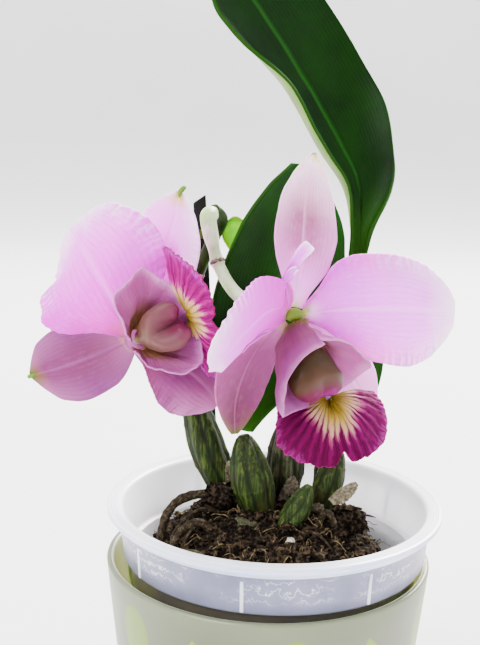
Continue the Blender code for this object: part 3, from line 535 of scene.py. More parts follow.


# Pseudobulb: a swollen stem under a tight skin, green with pale lengthwise fibres and brown scars, its
# furrows painted dark as shade, and it still carries scraps of dry sheath.
def bulbSkin(name, look, ribs):
    material, add = newMaterial(name)
    around, along, place = bladeMap(add)
    drawn = add("Mapping", {"Vector": place, "Scale": (1.0, 1.0, 0.1)})
    fibres = add("TexNoise", {"Vector": drawn, "Scale": 1000 / 1.1, "Detail": 5.0, "Roughness": 0.65})
    blotch = add("TexNoise", {"Vector": place, "Scale": 1000 / 7.0, "Detail": 4.0})
    ridges = add("Math", {0: around, 1: ribs * math.tau}, operation="MULTIPLY")
    lean = add("Math", {0: along, 1: 1.3}, operation="MULTIPLY")
    ridges = add("Math", {0: ridges, 1: lean}, operation="ADD")
    ridges = add("Math", {0: ridges}, operation="COSINE")
    # painted shade: the furrows between the ridges are darkened
    furrow = add("MapRange", {"Value": ridges, "From Min": -0.55, "From Max": -0.98})
    skin = add("ValToRGB", {"Fac": fibres}, stops=look["fibres"])
    patch = add("MapRange", {"Value": blotch, "From Min": 0.52, "From Max": 0.72, "To Max": look["age"]})
    foot = add("MapRange", {"Value": along, "From Min": 0.3, "From Max": 0.05, "To Max": 0.8})
    layers = [(patch, 1.0, look["scar"]), (furrow, 0.75, look["furrow"]), (foot, 1.0, look["foot"])]
    dull = add("MapRange", {"Value": fibres, "To Min": 0.4, "To Max": 0.75})
    numbers = {"Roughness": dull, "Specular IOR Level": 0.12}
    return finishMaterial(material, layered(add, skin, layers), fibres, 0.7, 0.0005, numbers)


greenBulb = dict(
    age=0.5, fibres=[
        (0.3, "#0A1203"), (0.5, "#1A2808"), (0.72, "#485820")
    ], scar="#342810", furrow="#080C03", foot="#181208"
)
greyBulb = dict(
    age=0.9, fibres=[
        (0.3, "#10140A"), (0.5, "#262C16"), (0.7, "#5C6044")
    ], scar="#4C4430", furrow="#0C0C06", foot="#18120C"
)
smallBulb = dict(
    age=0.2, fibres=[
        (0.3, "#0E1804"), (0.5, "#20300C"), (0.7, "#4A5826")
    ], scar="#3C3818", furrow="#0C1404", foot="#181208"
)


# Root: spongy dead skin over a wiry core, grey-brown when dry, with a live green tip on one.
def rootVelamen(name, stops, tipColour="#5B7A30", tipShare=0.0):
    material, add = newMaterial(name)
    around, along, place = bladeMap(add)
    flakes = add("TexNoise", {"Vector": place, "Scale": 1000 / 1.3, "Detail": 5.0, "Roughness": 0.7})
    skin = add("ValToRGB", {"Fac": flakes}, stops=stops)
    live = add("MapRange", {"Value": along, "From Min": 0.35, "From Max": 0.7, "To Max": tipShare})
    colour = layered(add, skin, [(live, 1.0, tipColour)])
    return finishMaterial(
        material, colour, flakes, 0.8, 0.0005, {"Roughness": 0.82, "Specular IOR Level": 0.1}
    )


# Growing medium: old bark broken down to crumbs, dark and damp below and grey-brown where dry.
def barkCrumb(name, stops, roughness=0.95):
    material, add = newMaterial(name)
    place = add("TexCoord").outputs["Object"]
    lumps = add("TexNoise", {"Vector": place, "Scale": 1000 / 5.0, "Detail": 6.0, "Roughness": 0.7})
    crumbs = add("TexVoronoi", {"Vector": place, "Scale": 1000 / 1.5})
    mixed = add("Math", {0: crumbs, 1: 0.6, 2: lumps}, operation="MULTIPLY_ADD")
    colour = add("ValToRGB", {"Fac": mixed}, stops=stops)
    numbers = {"Roughness": roughness, "Specular IOR Level": 0.05}
    return finishMaterial(material, colour, mixed, 0.9, 0.0012, numbers)


# Stem: smooth green skin with a bloom of pale wax, and a dry ring at the joint.
def stemSkin(name, wax, streakColour, glow, shine):
    material, add = newMaterial(name)
    place = add("TexCoord").outputs["Object"]
    cloud = add("TexNoise", {"Vector": place, "Scale": 1000 / 8.0, "Detail": 4.0})
    drawn = add("Mapping", {"Vector": place, "Scale": (1.0, 1.0, 0.15)})
    lines = add("TexNoise", {"Vector": drawn, "Scale": 1000 / 0.9, "Detail": 3.0})
    skin = add("ValToRGB", {"Fac": cloud}, stops=[(0.3, wax[0]), (0.7, wax[1])])
    streak = add("MapRange", {"Value": lines, "From Min": 0.5, "From Max": 0.7, "To Max": 0.3})
    colour = layered(add, skin, [(streak, 1.0, streakColour)])
    numbers = {"Roughness": 0.42, "Specular IOR Level": shine, **soak(glow, (0.6, 1.0, 0.3), 0.003)}
    return finishMaterial(material, colour, lines, 0.3, 0.0003, numbers)


# Inner pot: milky injection-moulded polypropylene, cloudy inside and satin on its skin, with chalky
# lines where hard water dried on the upper wall.
def milkyPolypropylene(name, tones, glow):
    material, add = newMaterial(name)
    place = add("TexCoord").outputs["Object"]
    z = add("SeparateXYZ", {"Vector": place}).outputs["Z"]
    cloud = add("TexNoise", {"Vector": place, "Scale": 1000 / 16.0, "Detail": 3.0})
    base = add("ValToRGB", {"Fac": cloud}, stops=[(0.3, tones[0]), (0.7, tones[1])])
    # water lines: thin wandering contours between the ledge and the rim
    warp = add("TexNoise", {"Vector": place, "Scale": 1000 / 5.0, "Detail": 7.0, "Roughness": 0.72})
    lift = add("Math", {0: warp, 1: 0.016}, operation="MULTIPLY")
    level = add("Math", {0: z, 1: lift}, operation="ADD")
    chalk = threads(add, level, 1 / 0.0042, 0.93, 1.0)
    lower = add("MapRange", {"Value": z, "From Min": 0.109, "From Max": 0.113})
    upper = add("MapRange", {"Value": z, "From Min": 0.1195, "From Max": 0.1175})
    patch = add("MapRange", {"Value": cloud, "From Min": 0.42, "From Max": 0.56})
    for mask in (lower, upper, patch):
        chalk = add("Math", {0: chalk, 1: mask}, operation="MULTIPLY")
    # below the ledge the wall takes its third, darker tone: painted shade where it stands down inside the
    # outer pot
    under = add("MapRange", {"Value": z, "From Min": 0.1063, "From Max": 0.1056})
    colour = layered(add, base, [(under, 1.0, tones[2]), (chalk, 1.0, "#FFFFFF")])
    dull = add("MapRange", {"Value": chalk, "To Min": 0.3, "To Max": 0.8})
    orange = add("TexNoise", {"Vector": place, "Scale": 1000 / 1.2, "Detail": 2.0})
    height = add("Math", {0: orange, 1: chalk}, operation="ADD")
    numbers = {"Roughness": dull, "IOR": 1.49, **soak(glow, (1.0, 1.0, 1.1), 0.004)}
    return finishMaterial(material, colour, height, 0.2, 0.0002, numbers)


# Outer pot: pale glass frosted by acid, so its skin is even and silky, with lime spots and plain leaf
# outlines printed on it in rows.
def frostedGlass(name, look, glow):
    material, add = newMaterial(name)
    place = add("TexCoord").outputs["Object"]
    split = add("SeparateXYZ", {"Vector": place})
    angle = add("Math", {0: split.outputs["Y"], 1: split.outputs["X"]}, operation="ARCTAN2")
    cloud = add("TexNoise", {"Vector": place, "Scale": 1000 / 30.0, "Detail": 3.0})
    glass = add("ValToRGB", {"Fac": cloud}, stops=[(0.3, look["glass"][0]), (0.7, look["glass"][1])])
    # painted shade: the glass darkens towards its foot with the low colour
    depth = {"From Min": 0.07, "From Max": 0.1045, "To Min": 0.8, "To Max": 0.0}
    layers = [(add("MapRange", {"Value": split.outputs["Z"], **depth}), 1.0, look["low"])]
    for row in look["rows"]:
        # x and z run from -1 to 1 over each printed shape
        lane = add("Math", {0: angle, 1: row["count"] / math.tau}, operation="MULTIPLY")
        lane = add("Math", {0: lane, 1: row["phase"] + 20}, operation="ADD")
        lane = add("Math", {0: lane}, operation="FRACT")
        x = add("Math", {0: lane, 1: 0.5}, operation="SUBTRACT")
        x = add("Math", {0: x, 1: math.tau * 0.057 / row["count"]}, operation="MULTIPLY")
        z = add("Math", {0: split.outputs["Z"], 1: row["z"] * mm}, operation="SUBTRACT")
        slant = add("Math", {0: z, 1: row["slant"]}, operation="MULTIPLY")
        x = add("Math", {0: x, 1: slant}, operation="ADD")
        x = add("Math", {0: x, 1: row["width"] * mm / 2}, operation="DIVIDE")
        z = add("Math", {0: z, 1: row["height"] * mm / 2}, operation="DIVIDE")
        xx = add("Math", {0: x}, operation="ABSOLUTE")
        xx = add("Math", {0: xx, 1: row["point"]}, operation="POWER")
        zz = add("Math", {0: z, 1: 2.0}, operation="POWER")
        far = add("Math", {0: xx, 1: zz}, operation="ADD")
        mask = add("MapRange", {"Value": far, "From Min": 1.05, "From Max": 0.98})
        if row["outline"]:
            core = add("MapRange", {"Value": far, "From Min": 0.66, "From Max": 0.72})
            vein = add("MapRange", {"Value": xx, "From Min": 0.14, "From Max": 0.06})
            line = add("Math", {0: core, 1: vein}, operation="MAXIMUM")
            mask = add("Math", {0: mask, 1: line}, operation="MULTIPLY")
        layers.append((mask, row["ink"], row["colour"]))
    frost = add("TexNoise", {"Vector": place, "Scale": 1000 / 0.5, "Detail": 2.0})
    numbers = {"Roughness": 0.38, "IOR": 1.5, **soak(glow, (1.0, 1.0, 0.8), 0.006)}
    return finishMaterial(material, layered(add, glass, layers), frost, 0.12, 0.0001, numbers)


# the outside glass is painted a dark olive, darker than the pale glass: painted shade on the side turned
# from the light
frostLook = dict(
    glass=("#646C50", "#70785A"),
    low="#484438",
    rows=[
        dict(
            count=6, phase=0.867, z=88.0, width=14.0, height=21.0, slant=0.0, point=2.0, outline=False,
            ink=0.8, colour="#6C8A0C",
        ),
        dict(
            count=6, phase=0.367, z=80.0, width=13.0, height=30.0, slant=0.25, point=1.0, outline=True,
            ink=0.75, colour="#7C9C14",
        ),
        dict(
            count=12, phase=0.3, z=47.0, width=9.0, height=12.0, slant=0.0, point=2.0, outline=False,
            ink=0.55, colour="#86A424",
        ),
        dict(
            count=6, phase=0.867, z=27.0, width=14.0, height=24.0, slant=-0.25, point=1.0, outline=True,
            ink=0.6, colour="#7C9C14",
        ),
    ],
)
insideLook = dict(frostLook, glass=("#D4D8B8", "#E4E6CC"), low="#C4C8A4")


# Stake and clip: moulded polypropylene, dark and satin, with faint lengthwise draw lines.
def stakePlastic(name, dark, light):
    material, add = newMaterial(name)
    place = add("TexCoord").outputs["Object"]
    drawn = add("Mapping", {"Vector": place, "Scale": (1.0, 1.0, 0.05)})
    lines = add("TexNoise", {"Vector": drawn, "Scale": 1000 / 0.7, "Detail": 2.0})
    shade = add("ValToRGB", {"Fac": lines}, stops=[(0.35, dark), (0.7, light)])
    numbers = {"Roughness": 0.5, "Specular IOR Level": 0.1}
    return finishMaterial(material, shade, lines, 0.4, 0.0002, numbers)


print("materials: functions ready")

# Outer pot and inner pot, both turned about Z

def turnedBody(name, profile, steps, material, nodes, centre=0.0, sharp=50.0):
    bm = bmesh.new()
    verts = [bm.verts.new((r * mm, 0, z * mm)) for r, z in profile]
    edges = [bm.edges.new(pair) for pair in zip(verts, verts[1:])]
    around = dict(axis=(0, 0, 1), cent=(0, 0, 0), angle=math.tau, steps=steps)
    bmesh.ops.spin(bm, geom=verts + edges, use_merge=True, use_duplicate=False, **around)
    bmesh.ops.remove_doubles(bm, verts=bm.verts[:], dist=0.005 * mm)
    bmesh.ops.recalc_face_normals(bm, faces=bm.faces[:])
    bmesh.ops.translate(bm, verts=bm.verts[:], vec=(centre, 0, 0))
    return finishPiece(name, bm, [material], nodes, sharp)


def roundEdges(bm, size, segments):
    how = dict(offset_type="OFFSET", affect="EDGES", segments=segments, profile=0.5, material=-1)
    bmesh.ops.bevel(bm, geom=bm.edges[:], offset=size * mm, **how)


def outwardness(face, centre):
    # 1 for a face that looks away from the pot's axis, -1 for one that looks at it
    return face.normal.dot(Vector((face.center.x - centre, face.center.y, 0)).normalized())


outerPot = dict(
    topRadius=60.8,
    baseRadius=49.0,
    height=104.5,
    wall=2.6,
    floor=5.0,
    chamfer=2.5,
    lip=0.9,
    bulge=1.44,  # how far the wall bows out half-way up, times four
    innerBulge=1.4,
    steps=160,
)


def outerPotProfile(pot):
    top, base, height, wall, floor = (
        pot[k] for k in ("topRadius", "baseRadius", "height", "wall", "floor")
    )
    chamfer, lip = pot["chamfer"], pot["lip"]
    lower, upper = floor + chamfer, height - lip
    points = [(0, 0.5), (base - chamfer - 6, 0.5), (base - chamfer - 5, 0), (base - chamfer, 0)]
    points += [(base - 1.2, 0.35), (base - 0.35, 1.2), (base, chamfer)]
    for i in range(1, 12):
        t = i / 12
        points.append(
            (base + (top - base) * t + pot["bulge"] * t * (1 - t), chamfer + (upper - chamfer) * t)
        )
    points += [(top, upper), (top - 0.25 * lip, height - 0.3 * lip), (top - lip, height)]
    points += [
        (top - wall + lip, height), (top - wall + 0.25 * lip, height - 0.3 * lip), (top - wall, upper)
    ]
    for i in range(11, 0, -1):
        t = i / 12
        points.append(
            (base + (top - base) * t + pot["innerBulge"] * t * (1 - t) - wall, lower + (upper - lower) * t)
        )
    points += [
        (base - wall, lower), (base - wall - 1.0, floor + 0.7), (base - wall - chamfer, floor), (0, floor)
    ]
    return points


frostSkin = frostedGlass("acid_frosted_glass", frostLook, 0.5)
outerProfile = outerPotProfile(outerPot)
outerWall = turnedBody(
    "outer_pot_wall", outerProfile, outerPot["steps"], frostSkin, ["cachepot"]
)
# the inside of the glass is lit through the wall, so it looks paler
outerWall.data.materials.append(frostedGlass("frosted_glass_inside", insideLook, 0.8))
for face in outerWall.data.polygons:
    if outwardness(face, 0.0) < -0.3:
        face.material_index = 1

innerPot = dict(
    bottom=5.3,
    baseRadius=42.5,
    bodyRadius=54.4,
    ledgeRadius=56.6,
    topRadius=58.0,
    rimRadius=62.5,
    ledgeZ=106.0,
    topZ=125.0,
    wall=1.4,
    steps=160,
    ribCount=8,
    ribPhase=-12.0,  # degrees from straight ahead
    ribHeight=11.5,
)


def innerPotProfile(pot):
    low, top, wall = pot["bottom"], pot["topZ"], pot["wall"]
    base, body, ledge, upper, rim = (pot[k + "Radius"] for k in ("base", "body", "ledge", "top", "rim"))
    ledgeZ = pot["ledgeZ"]
    rimZ = top - 3.6
    points = [(8.0, low), (base - 1.5, low), (base - 0.4, low + 0.4), (base, low + 1.5)]
    for i in range(1, 10):
        t = i / 10
        points.append((base + (body - base) * t, low + 1.5 + (ledgeZ - 1.6 - low - 1.5) * t))
    points += [
        (body, ledgeZ - 1.4), (body + 0.3, ledgeZ - 0.8), (ledge - 0.5, ledgeZ - 0.35),
        (ledge, ledgeZ + 0.3),
    ]
    points += [
        (0.5 * (ledge + upper), 0.5 * (ledgeZ + rimZ)), (upper, rimZ - 1.9), (upper + 0.4, rimZ - 1.4)
    ]
    points += [(rim - 2.6, rimZ - 0.8), (rim - 2.1, rimZ - 0.2), (rim - 1.7, rimZ + 0.5)]
    points += [(rim - 1.0, rimZ + 0.75), (rim - 0.7, rimZ + 1.15), (rim - 0.75, rimZ + 1.5)]
    for lift in (1.6, 2.3, 3.0):  # fine beads run round the outside of the rim
        points += [(rim - 0.35, rimZ + lift), (rim, rimZ + lift + 0.2), (rim - 0.02, rimZ + lift + 0.5)]
    for groove in (1.3, 2.1, 3.0):  # fine grooves run round its top
        points += [(rim - groove + 0.25, top), (rim - groove, top - 0.3), (rim - groove - 0.25, top)]
    points += [(upper - wall + 1.2, top - 0.1), (upper - wall + 0.5, top - 0.45), (upper - wall, top - 1.4)]
    points += [
        (ledge - wall, ledgeZ + 1.4), (ledge - wall - 0.5, ledgeZ + 0.6), (body - wall, ledgeZ - 0.2)
    ]
    points += [(base - wall, low + 2.4), (base - wall - 0.8, low + wall), (8.0, low + wall), (8.0, low)]
    return points


milkySkin = milkyPolypropylene("milky_polypropylene_skin", ("#F0F4FC", "#FAFCFF", "#E8ECF4"), 0.8)
# the outside wall's copy is painted dark: painted shade
shadedWallSkin = milkyPolypropylene("milky_wall_painted_shade", ("#666880", "#7E8098", "#443E3C"), 0.4)
ribSkin = milkyPolypropylene("thick_milky_polypropylene", ("#D6DCEC", "#ECF0FA", "#D6DCEC"), 0.6)
innerProfile = innerPotProfile(innerPot)
innerWall = turnedBody(
    "inner_pot_wall", innerProfile, innerPot["steps"], milkySkin, ["inner_pot"], potAxis.x
)
# seen from outside, the wall is painted grey and lavender: painted shade on the side turned from the light,
# with the dark medium behind it
innerWall.data.materials.append(shadedWallSkin)
innerWall.data.materials.append(
    milkyPolypropylene("milky_rolled_rim", ("#CCD8F4", "#DCE4FA", "#CCD8F4"), 0.7)
)
underRim = 119.5 * mm
for face in innerWall.data.polygons:
    if outwardness(face, potAxis.x) > 0.3:
        face.material_index = 1 if face.center.z < underRim else 2


def potRibs(pot):
    # short upright ribs moulded on the outside between the ledge and the rim
    bm = bmesh.new()
    middle = Vector((0, -pot["ledgeRadius"] - 0.4, pot["ledgeZ"] + 0.4 + pot["ribHeight"] / 2)) * mm
    tilt = Matrix.Rotation(math.radians(3.5), 3, "X")
    for i in range(pot["ribCount"]):
        turn = Matrix.Rotation(math.radians(pot["ribPhase"]) + math.tau * i / pot["ribCount"], 4, "Z")
        verts = bmesh.ops.create_cube(bm, size=mm)["verts"]
        bmesh.ops.scale(bm, verts=verts, vec=(1.3, 1.0, pot["ribHeight"]))
        bmesh.ops.rotate(bm, verts=verts, cent=(0, 0, 0), matrix=tilt)
        bmesh.ops.translate(bm, verts=verts, vec=middle)
        bmesh.ops.transform(bm, matrix=turn, verts=verts)
    roundEdges(bm, 0.3, 2)
    bmesh.ops.translate(bm, verts=bm.verts[:], vec=potAxis)
    return finishPiece("inner_pot_ribs", bm, [ribSkin], [])


potRibs(innerPot)
print("pots: outer pot, inner pot and its ribs")

# Growing medium: a root ball of old bark that stands proud of a lower ring, with crumbs and fibres on it

medium = dict(
    topZ=123.5,
    radius=44.0,
    ringZ=92.0,
    bottom=7.0,
    sides=190,
    rows=150,
    shown=0.82,  # the part of the outline that is laid over the upper side
    crumbs=900,
    fibres=520,
    seed=11,
)


def coarseCrumbs(x, y, z):
    # the same swells as the solid model's root ball
    coarse = noise.noise(Vector((x * 0.13, y * 0.13, z * 0.13 + 5.0)))
    fine = noise.noise(Vector((x * 0.31 + 9.0, y * 0.31, z * 0.31)))
    return 2.6 * coarse + 1.7 * fine


def potInside(z):
    share = (z - innerPot["bottom"]) / (innerPot["ledgeZ"] - innerPot["bottom"])
    return innerPot["baseRadius"] + (
        innerPot["bodyRadius"] - innerPot["baseRadius"]
    ) * share - innerPot["wall"]


def mediumPlace(spec):
    top, ball, ring, bottom = spec["topZ"], spec["radius"], spec["ringZ"], spec["bottom"]
    outline = [
        (0.0, (0.6, top)),
        (0.12, (9.0, top - 0.5)),
        (0.22, (18.0, top - 2.5)),
        (0.34, (29.0, top - 6.5)),
        (0.46, (39.0, top - 13.0)),
        (0.56, (ball, top - 22.0)),
        (0.64, (ball + 2.0, ring + 2.0)),
        (0.72, (potInside(ring) - 2.0, ring)),
        (0.80, (potInside(ring - 5) - 0.8, ring - 5)),
        (0.90, (potInside(bottom + 3) - 0.8, bottom + 3)),
        (0.95, (37.0, bottom)),
        (1.0, (3.0, bottom)),
    ]
    radii = [(t, rz[0]) for t, rz in outline]
    heights = [(t, rz[1]) for t, rz in outline]

    def place(turn, v):
        angle = math.tau * turn
        # more rows where the top shows
        v = v * spec["shown"] if v < 0.95 else spec["shown"] + (v - 0.95) * 3.6
        r, z = stationValue(radii, v), stationValue(heights, v)
        x, y = r * math.cos(angle), r * math.sin(angle)
        rough = smoothStep(v / 0.05) * (1 - smoothStep((v - 0.58) / 0.12))
        lift = coarseCrumbs(x, y, z) * rough
        shown = smoothStep(v / 0.02) * (1 - smoothStep((v - 0.76) / 0.06))
        crumb = 1.5 * grain(x, y, z, 6.0, 1.0) + 1.6 * grain(x, y, z, 2.8, 4.0)
        crumb += 1.2 * abs(grain(x, y, z, 1.6, 8.0)) + 0.5 * grain(x, y, z, 0.8, 2.0)
        lift += crumb * shown
        out = 0.35 + 0.65 * smoothStep((v - 0.3) / 0.3)
        lobe = 1.0 + 0.09 * rough * math.cos(angle - math.radians(235))
        grow = (r * lobe + lift * out) / max(r, 1e-6)
        if v > 0.7:
            grow = min(grow, (potInside(z) - 0.4) / max(r, 1e-6))
        return Vector((x * grow, y * grow, z + lift * (1.2 - out)))

    return place


barkDark = barkCrumb(
    "broken_down_bark", [(0.4, "#010101"), (0.6, "#050302"), (0.8, "#100B07"), (1.0, "#342B20")]
)
barkChip = barkCrumb(
    "bark_chip", [(0.4, "#020101"), (0.65, "#090604"), (0.85, "#221B13"), (1.0, "#443829")]
)
fibreSkin = barkCrumb("dry_root_fibre", [(0.4, "#0E0A06"), (0.65, "#2E2418"), (1.0, "#746448")], 0.85)
groundAt = mediumPlace(medium)
sides, rows = medium["sides"], medium["rows"]
roundBody(
    "root_ball_surface", groundAt, sides, rows, [barkDark], ["growing_medium"],
    sharp=180.0,
)


def topPoint(rng, spread):
    # a random point on the part of the root ball that shows
    v = spread * math.sqrt(rng.random()) + 0.03
    return groundAt(rng.random(), v / medium["shown"])


def looseCrumbs(spec):
    rng = random.Random(spec["seed"])
    bm = bmesh.new()
    for _ in range(spec["crumbs"]):
        at = topPoint(rng, 0.6)
        size = rng.choice((0.7, 0.9, 1.1, 1.4, 2.0)) * rng.uniform(0.8, 1.3)
        verts = bmesh.ops.create_icosphere(bm, subdivisions=1, radius=size * mm)["verts"]
        stretch = (rng.uniform(0.7, 1.9), rng.uniform(0.6, 1.1), rng.uniform(0.4, 0.8))
        bmesh.ops.scale(bm, verts=verts, vec=stretch)
        for vert in verts:
            vert.co *= rng.uniform(0.75, 1.2)
        turn = Matrix.Rotation(
            rng.uniform(0, math.tau), 3, "Z"
        ) @ Matrix.Rotation(rng.uniform(-0.7, 0.7), 3, "X")
        bmesh.ops.rotate(bm, verts=verts, cent=(0, 0, 0), matrix=turn)
        bmesh.ops.translate(bm, verts=verts, vec=toWorld(at + Vector((0, 0, 0.35 * size))))
    return finishPiece("loose_bark_crumbs", bm, [barkChip], [], 25.0)


looseCrumbs(medium)

# clods of bark that stand round the bulbs' feet: middle, radius, height share
clods = [
    ((-21.0, -1.0, 125.5), 6.5, 0.8),
    ((-14.5, 4.0, 125.5), 5.0, 1.0),
    ((28.0, -8.0, 120.5), 6.0, 0.8),
    ((22.0, -12.0, 119.0), 5.0, 0.75),
    ((-8.0, -10.0, 121.5), 5.0, 0.6),
    ((8.5, -8.5, 121.5), 5.4, 0.6),
]


def clodPlace(middle, radius, squash):
    def place(turn, v):
        angle, tip = math.tau * turn, math.pi * (0.02 + 0.96 * v)
        ray = Vector((math.sin(tip) * math.cos(angle), math.sin(tip) * math.sin(angle), math.cos(tip)))
        r = radius * (1 + 0.3 * grain(*(ray * 3), 1.3, radius) + 0.22 * grain(*(ray * 9), 1.3, middle[0]))
        return Vector(middle) + Vector((ray.x, ray.y, ray.z * squash)) * r

    return place


for number, (middle, radius, squash) in enumerate(clods):
    clod = clodPlace(middle, radius, squash)
    roundBody("bark_clod_%d" % number, clod, 60, 40, [barkDark], [], sharp=180.0)


def strand(bm, points, radius, sides, steps):
    # a thin closed thread laid through the points
    place = stemPlace(points, [(0, radius), (0.8, radius * 0.8), (1, radius * 0.35)])
    verts = bmesh.ops.create_grid(bm, x_segments=sides, y_segments=steps, size=0.5)["verts"]
    for vert in verts:
        vert.co = toWorld(place(vert.co.x + 0.5, vert.co.y + 0.5))
    bmesh.ops.remove_doubles(bm, verts=verts, dist=0.002 * mm)


def fibreMat(spec):
    rng = random.Random(spec["seed"] + 1)
    bm = bmesh.new()
    for _ in range(spec["fibres"]):
        at = topPoint(rng, 0.56)
        heading = rng.uniform(0, math.tau)
        reach = rng.uniform(3.0, 9.0)
        points = [at + Vector((0, 0, -1.2))]
        for k in range(1, 5):
            heading += rng.uniform(-0.7, 0.7)
            step = Vector((math.cos(heading), math.sin(heading), 0)) * reach / 4
            lift = 1.1 * math.sin(math.pi * k / 4) + rng.uniform(-0.3, 0.9)
            here = points[-1] + step
            points.append(Vector((here.x, here.y, at.z + lift - 0.12 * reach * k / 4)))
        strand(bm, points, rng.uniform(0.1, 0.28), 4, 8)
    closeBody(bm)
    return finishPiece("fibre_mat", bm, [fibreSkin], [])


fibreMat(medium)
twig = stemPlace(
    [(19.3, -6, 119.0), (21.6, -8, 124.4), (25.4, -10, 126.4), (28.4, -10, 125.7), (32.1, -10, 125.8)],
    [(0, 0.7), (0.5, 0.8), (0.8, 1.1), (1, 0.4)],
    rough=0.4,
)
roundBody("dry_twig", twig, 14, 60, [barkChip], [])
whiteCrumb = barkCrumb("white_perlite", [(0.4, "#7C7468"), (0.8, "#D8D0C4")])
crumb = clodPlace((5.3, -24.0, 118.4), 1.6, 0.8)
roundBody("perlite_crumb", crumb, 30, 20, [whiteCrumb], [], sharp=180.0)
print("growing medium: root ball, clods, crumbs, fibres and a twig")

# Pseudobulbs, their scraps of sheath, the rhizome and the roots

bulbs = {
    "pseudobulb_front": dict(
        foot=(-3.2, -4.5, 117.0), head=(-12.2, -3.0, 151.0), bow=(-0.8, -1.0, 0.0), radius=7.7, ribs=7
    ),
    "pseudobulb_left": dict(
        foot=(-15.0, 7.5, 119.0), head=(-33.5, 8.5, 168.0), bow=(-1.0, 0.0, -2.5), radius=6.8, ribs=6
    ),
    "pseudobulb_old": dict(
        foot=(2.5, 9.5, 117.0), head=(3.5, 12.0, 152.0), bow=(1.2, 0.0, 0.0), radius=7.3, ribs=8
    ),
    "pseudobulb_small": dict(
        foot=(0.8, -13.5, 115.5), head=(12.6, -10.8, 134.8), bow=(0.6, -0.6, -0.6), radius=4.7, ribs=6
    ),
    "pseudobulb_right": dict(
        foot=(14.0, -2.0, 118.0), head=(23.5, 1.5, 146.0), bow=(1.4, -0.6, 0.0), radius=5.4, ribs=6
    ),
    "pseudobulb_tall": dict(
        foot=(17.5, 14.5, 116.0), head=(30.0, 30.0, 203.0), bow=(2.0, 2.0, 0.0), radius=5.6, ribs=6
    ),
}


def bulbPlace(spec):
    foot, head = Vector(spec["foot"]), Vector(spec["head"])
    path = [foot, foot.lerp(head, 0.5) + Vector(spec.get("bow", (0, 0, 0))), head]
    up = Vector((0, 0, 1))

    def place(turn, v):
        here, side, other = crossFrame(lambda t: curvePoint(path, t), v, up)
        belly = smoothValue([(0, 0.42), (0.3, 0.88), (0.52, 1.0), (0.8, 0.7), (1.0, 0.26)], v)
        angle = math.tau * turn
        ridge = math.cos(spec["ribs"] * angle + 1.3 * v)
        bulge = 0.045 * (ridge if ridge > 0 else 1.6 * ridge) * math.sin(math.pi * v)
        wither = 0.05 * grain(
            math.cos(angle) * 9, math.sin(angle) * 9, v * 22, 2.6, len(spec) + spec["radius"]
        )
        scar = sum(0.035 * math.exp(-(((v - at) / 0.012) ** 2)) for at in (0.2, 0.43, 0.7, 0.95))
        r = spec["radius"] * (belly + bulge + wither * math.sin(math.pi * v) + scar)
        return here + side * math.cos(angle) * r + other * math.sin(angle) * r

    return place


bulbFinish = dict(
    pseudobulb_old=greyBulb,
    pseudobulb_small=smallBulb,
    pseudobulb_tall=dict(greenBulb, age=0.4),
)
for bulbName, spec in bulbs.items():
    skin = bulbSkin("skin_of_" + bulbName, bulbFinish.get(bulbName, greenBulb), spec["ribs"])
    roundBody(bulbName + "_body", bulbPlace(spec), 84, 90, [skin], [bulbName])

# papery sheath scraps: name, centre angle, half angle, from and to along the bulb, standing off
sheathScraps = [
    ("pseudobulb_old", 250, 40, 0.1, 0.45, 0.4),
    ("pseudobulb_front", 20, 40, 0.02, 0.34, 0.6),
    ("pseudobulb_left", 215, 55, 0.05, 0.4, 0.5),
    ("pseudobulb_right", 280, 50, 0.02, 0.3, 0.6),
    ("pseudobulb_tall", 260, 70, 0.05, 0.36, 0.5),
    ("pseudobulb_tall", 90, 80, 0.3, 0.62, 0.5),
]
sheathSkin = rootVelamen("dry_papery_sheath", [(0.3, "#342C20"), (0.5, "#6C6450"), (0.75, "#B0A890")])


def scrapPlace(number, spec, middle, half, low, high, off):
    ground = bulbPlace(spec)
    foot, head = Vector(spec["foot"]), Vector(spec["head"])

    def place(u, v):
        ragged = 0.06 * grain(u * 9, number * 3.0, 0, 1.0)
        along = low + (high - low) * v * (1 + ragged - 0.25 * abs(2 * u - 1) ** 3)
        turn = (middle + half * (2 * u - 1) * (1 - 0.45 * v * v)) / 360
        here = ground(turn % 1.0, along)
        lift = off * (0.35 + 1.1 * v * v + 0.5 * abs(2 * u - 1) ** 2)
        return here + (here - foot.lerp(head, along)).normalized() * lift

    return place


for number, (bulbName, *shape) in enumerate(sheathScraps):
    scrap = scrapPlace(number, bulbs[bulbName], *shape)
    thinSheet("sheath_scrap_%d" % number, scrap, 24, 20, 0.16, [sheathSkin], [], "dry_sheath_tan")
print("pseudobulbs and sheath scraps")

roots = {
    "root_left_arch": dict(
        points=[(-19.5, -2, 118), (-25, -3, 127.0), (-34, -5, 126.5), (-40.5, -8, 120), (-43.0, -12, 104)],
        radius=1.7,
    ),
    "root_left_low": dict(
        points=[(-22, -16, 117), (-28, -17, 122.0), (-35, -18, 117.5), (-39.5, -20, 106)],
        radius=1.5,
    ),
    "root_right_arch": dict(
        points=[(14, -13, 117), (18.5, -13.5, 125.5), (21.5, -15, 121.5), (22.5, -17, 112)],
        radius=1.2,
    ),
    "root_front_tip": dict(
        points=[(-22, -31, 108), (-27, -32.5, 115.2), (-33, -32.5, 116.2), (-38.0, -31.5, 112.5)],
        radius=1.8,
    ),
}
roots["rhizome"] = dict(
    points=[(-19, -11, 112), (-15.5, -13, 118.5), (-10.5, -14.5, 120.5), (-6.0, -13.5, 117.0)],
    radius=2.3,
    knobs=[(0, 0.8), (0.22, 1.0), (0.36, 0.8), (0.52, 1.25), (0.66, 0.85), (0.8, 1.15), (1, 0.7)],
)
taper = [(0, 0.9), (0.5, 1.0), (0.9, 0.9), (1, 0.6)]
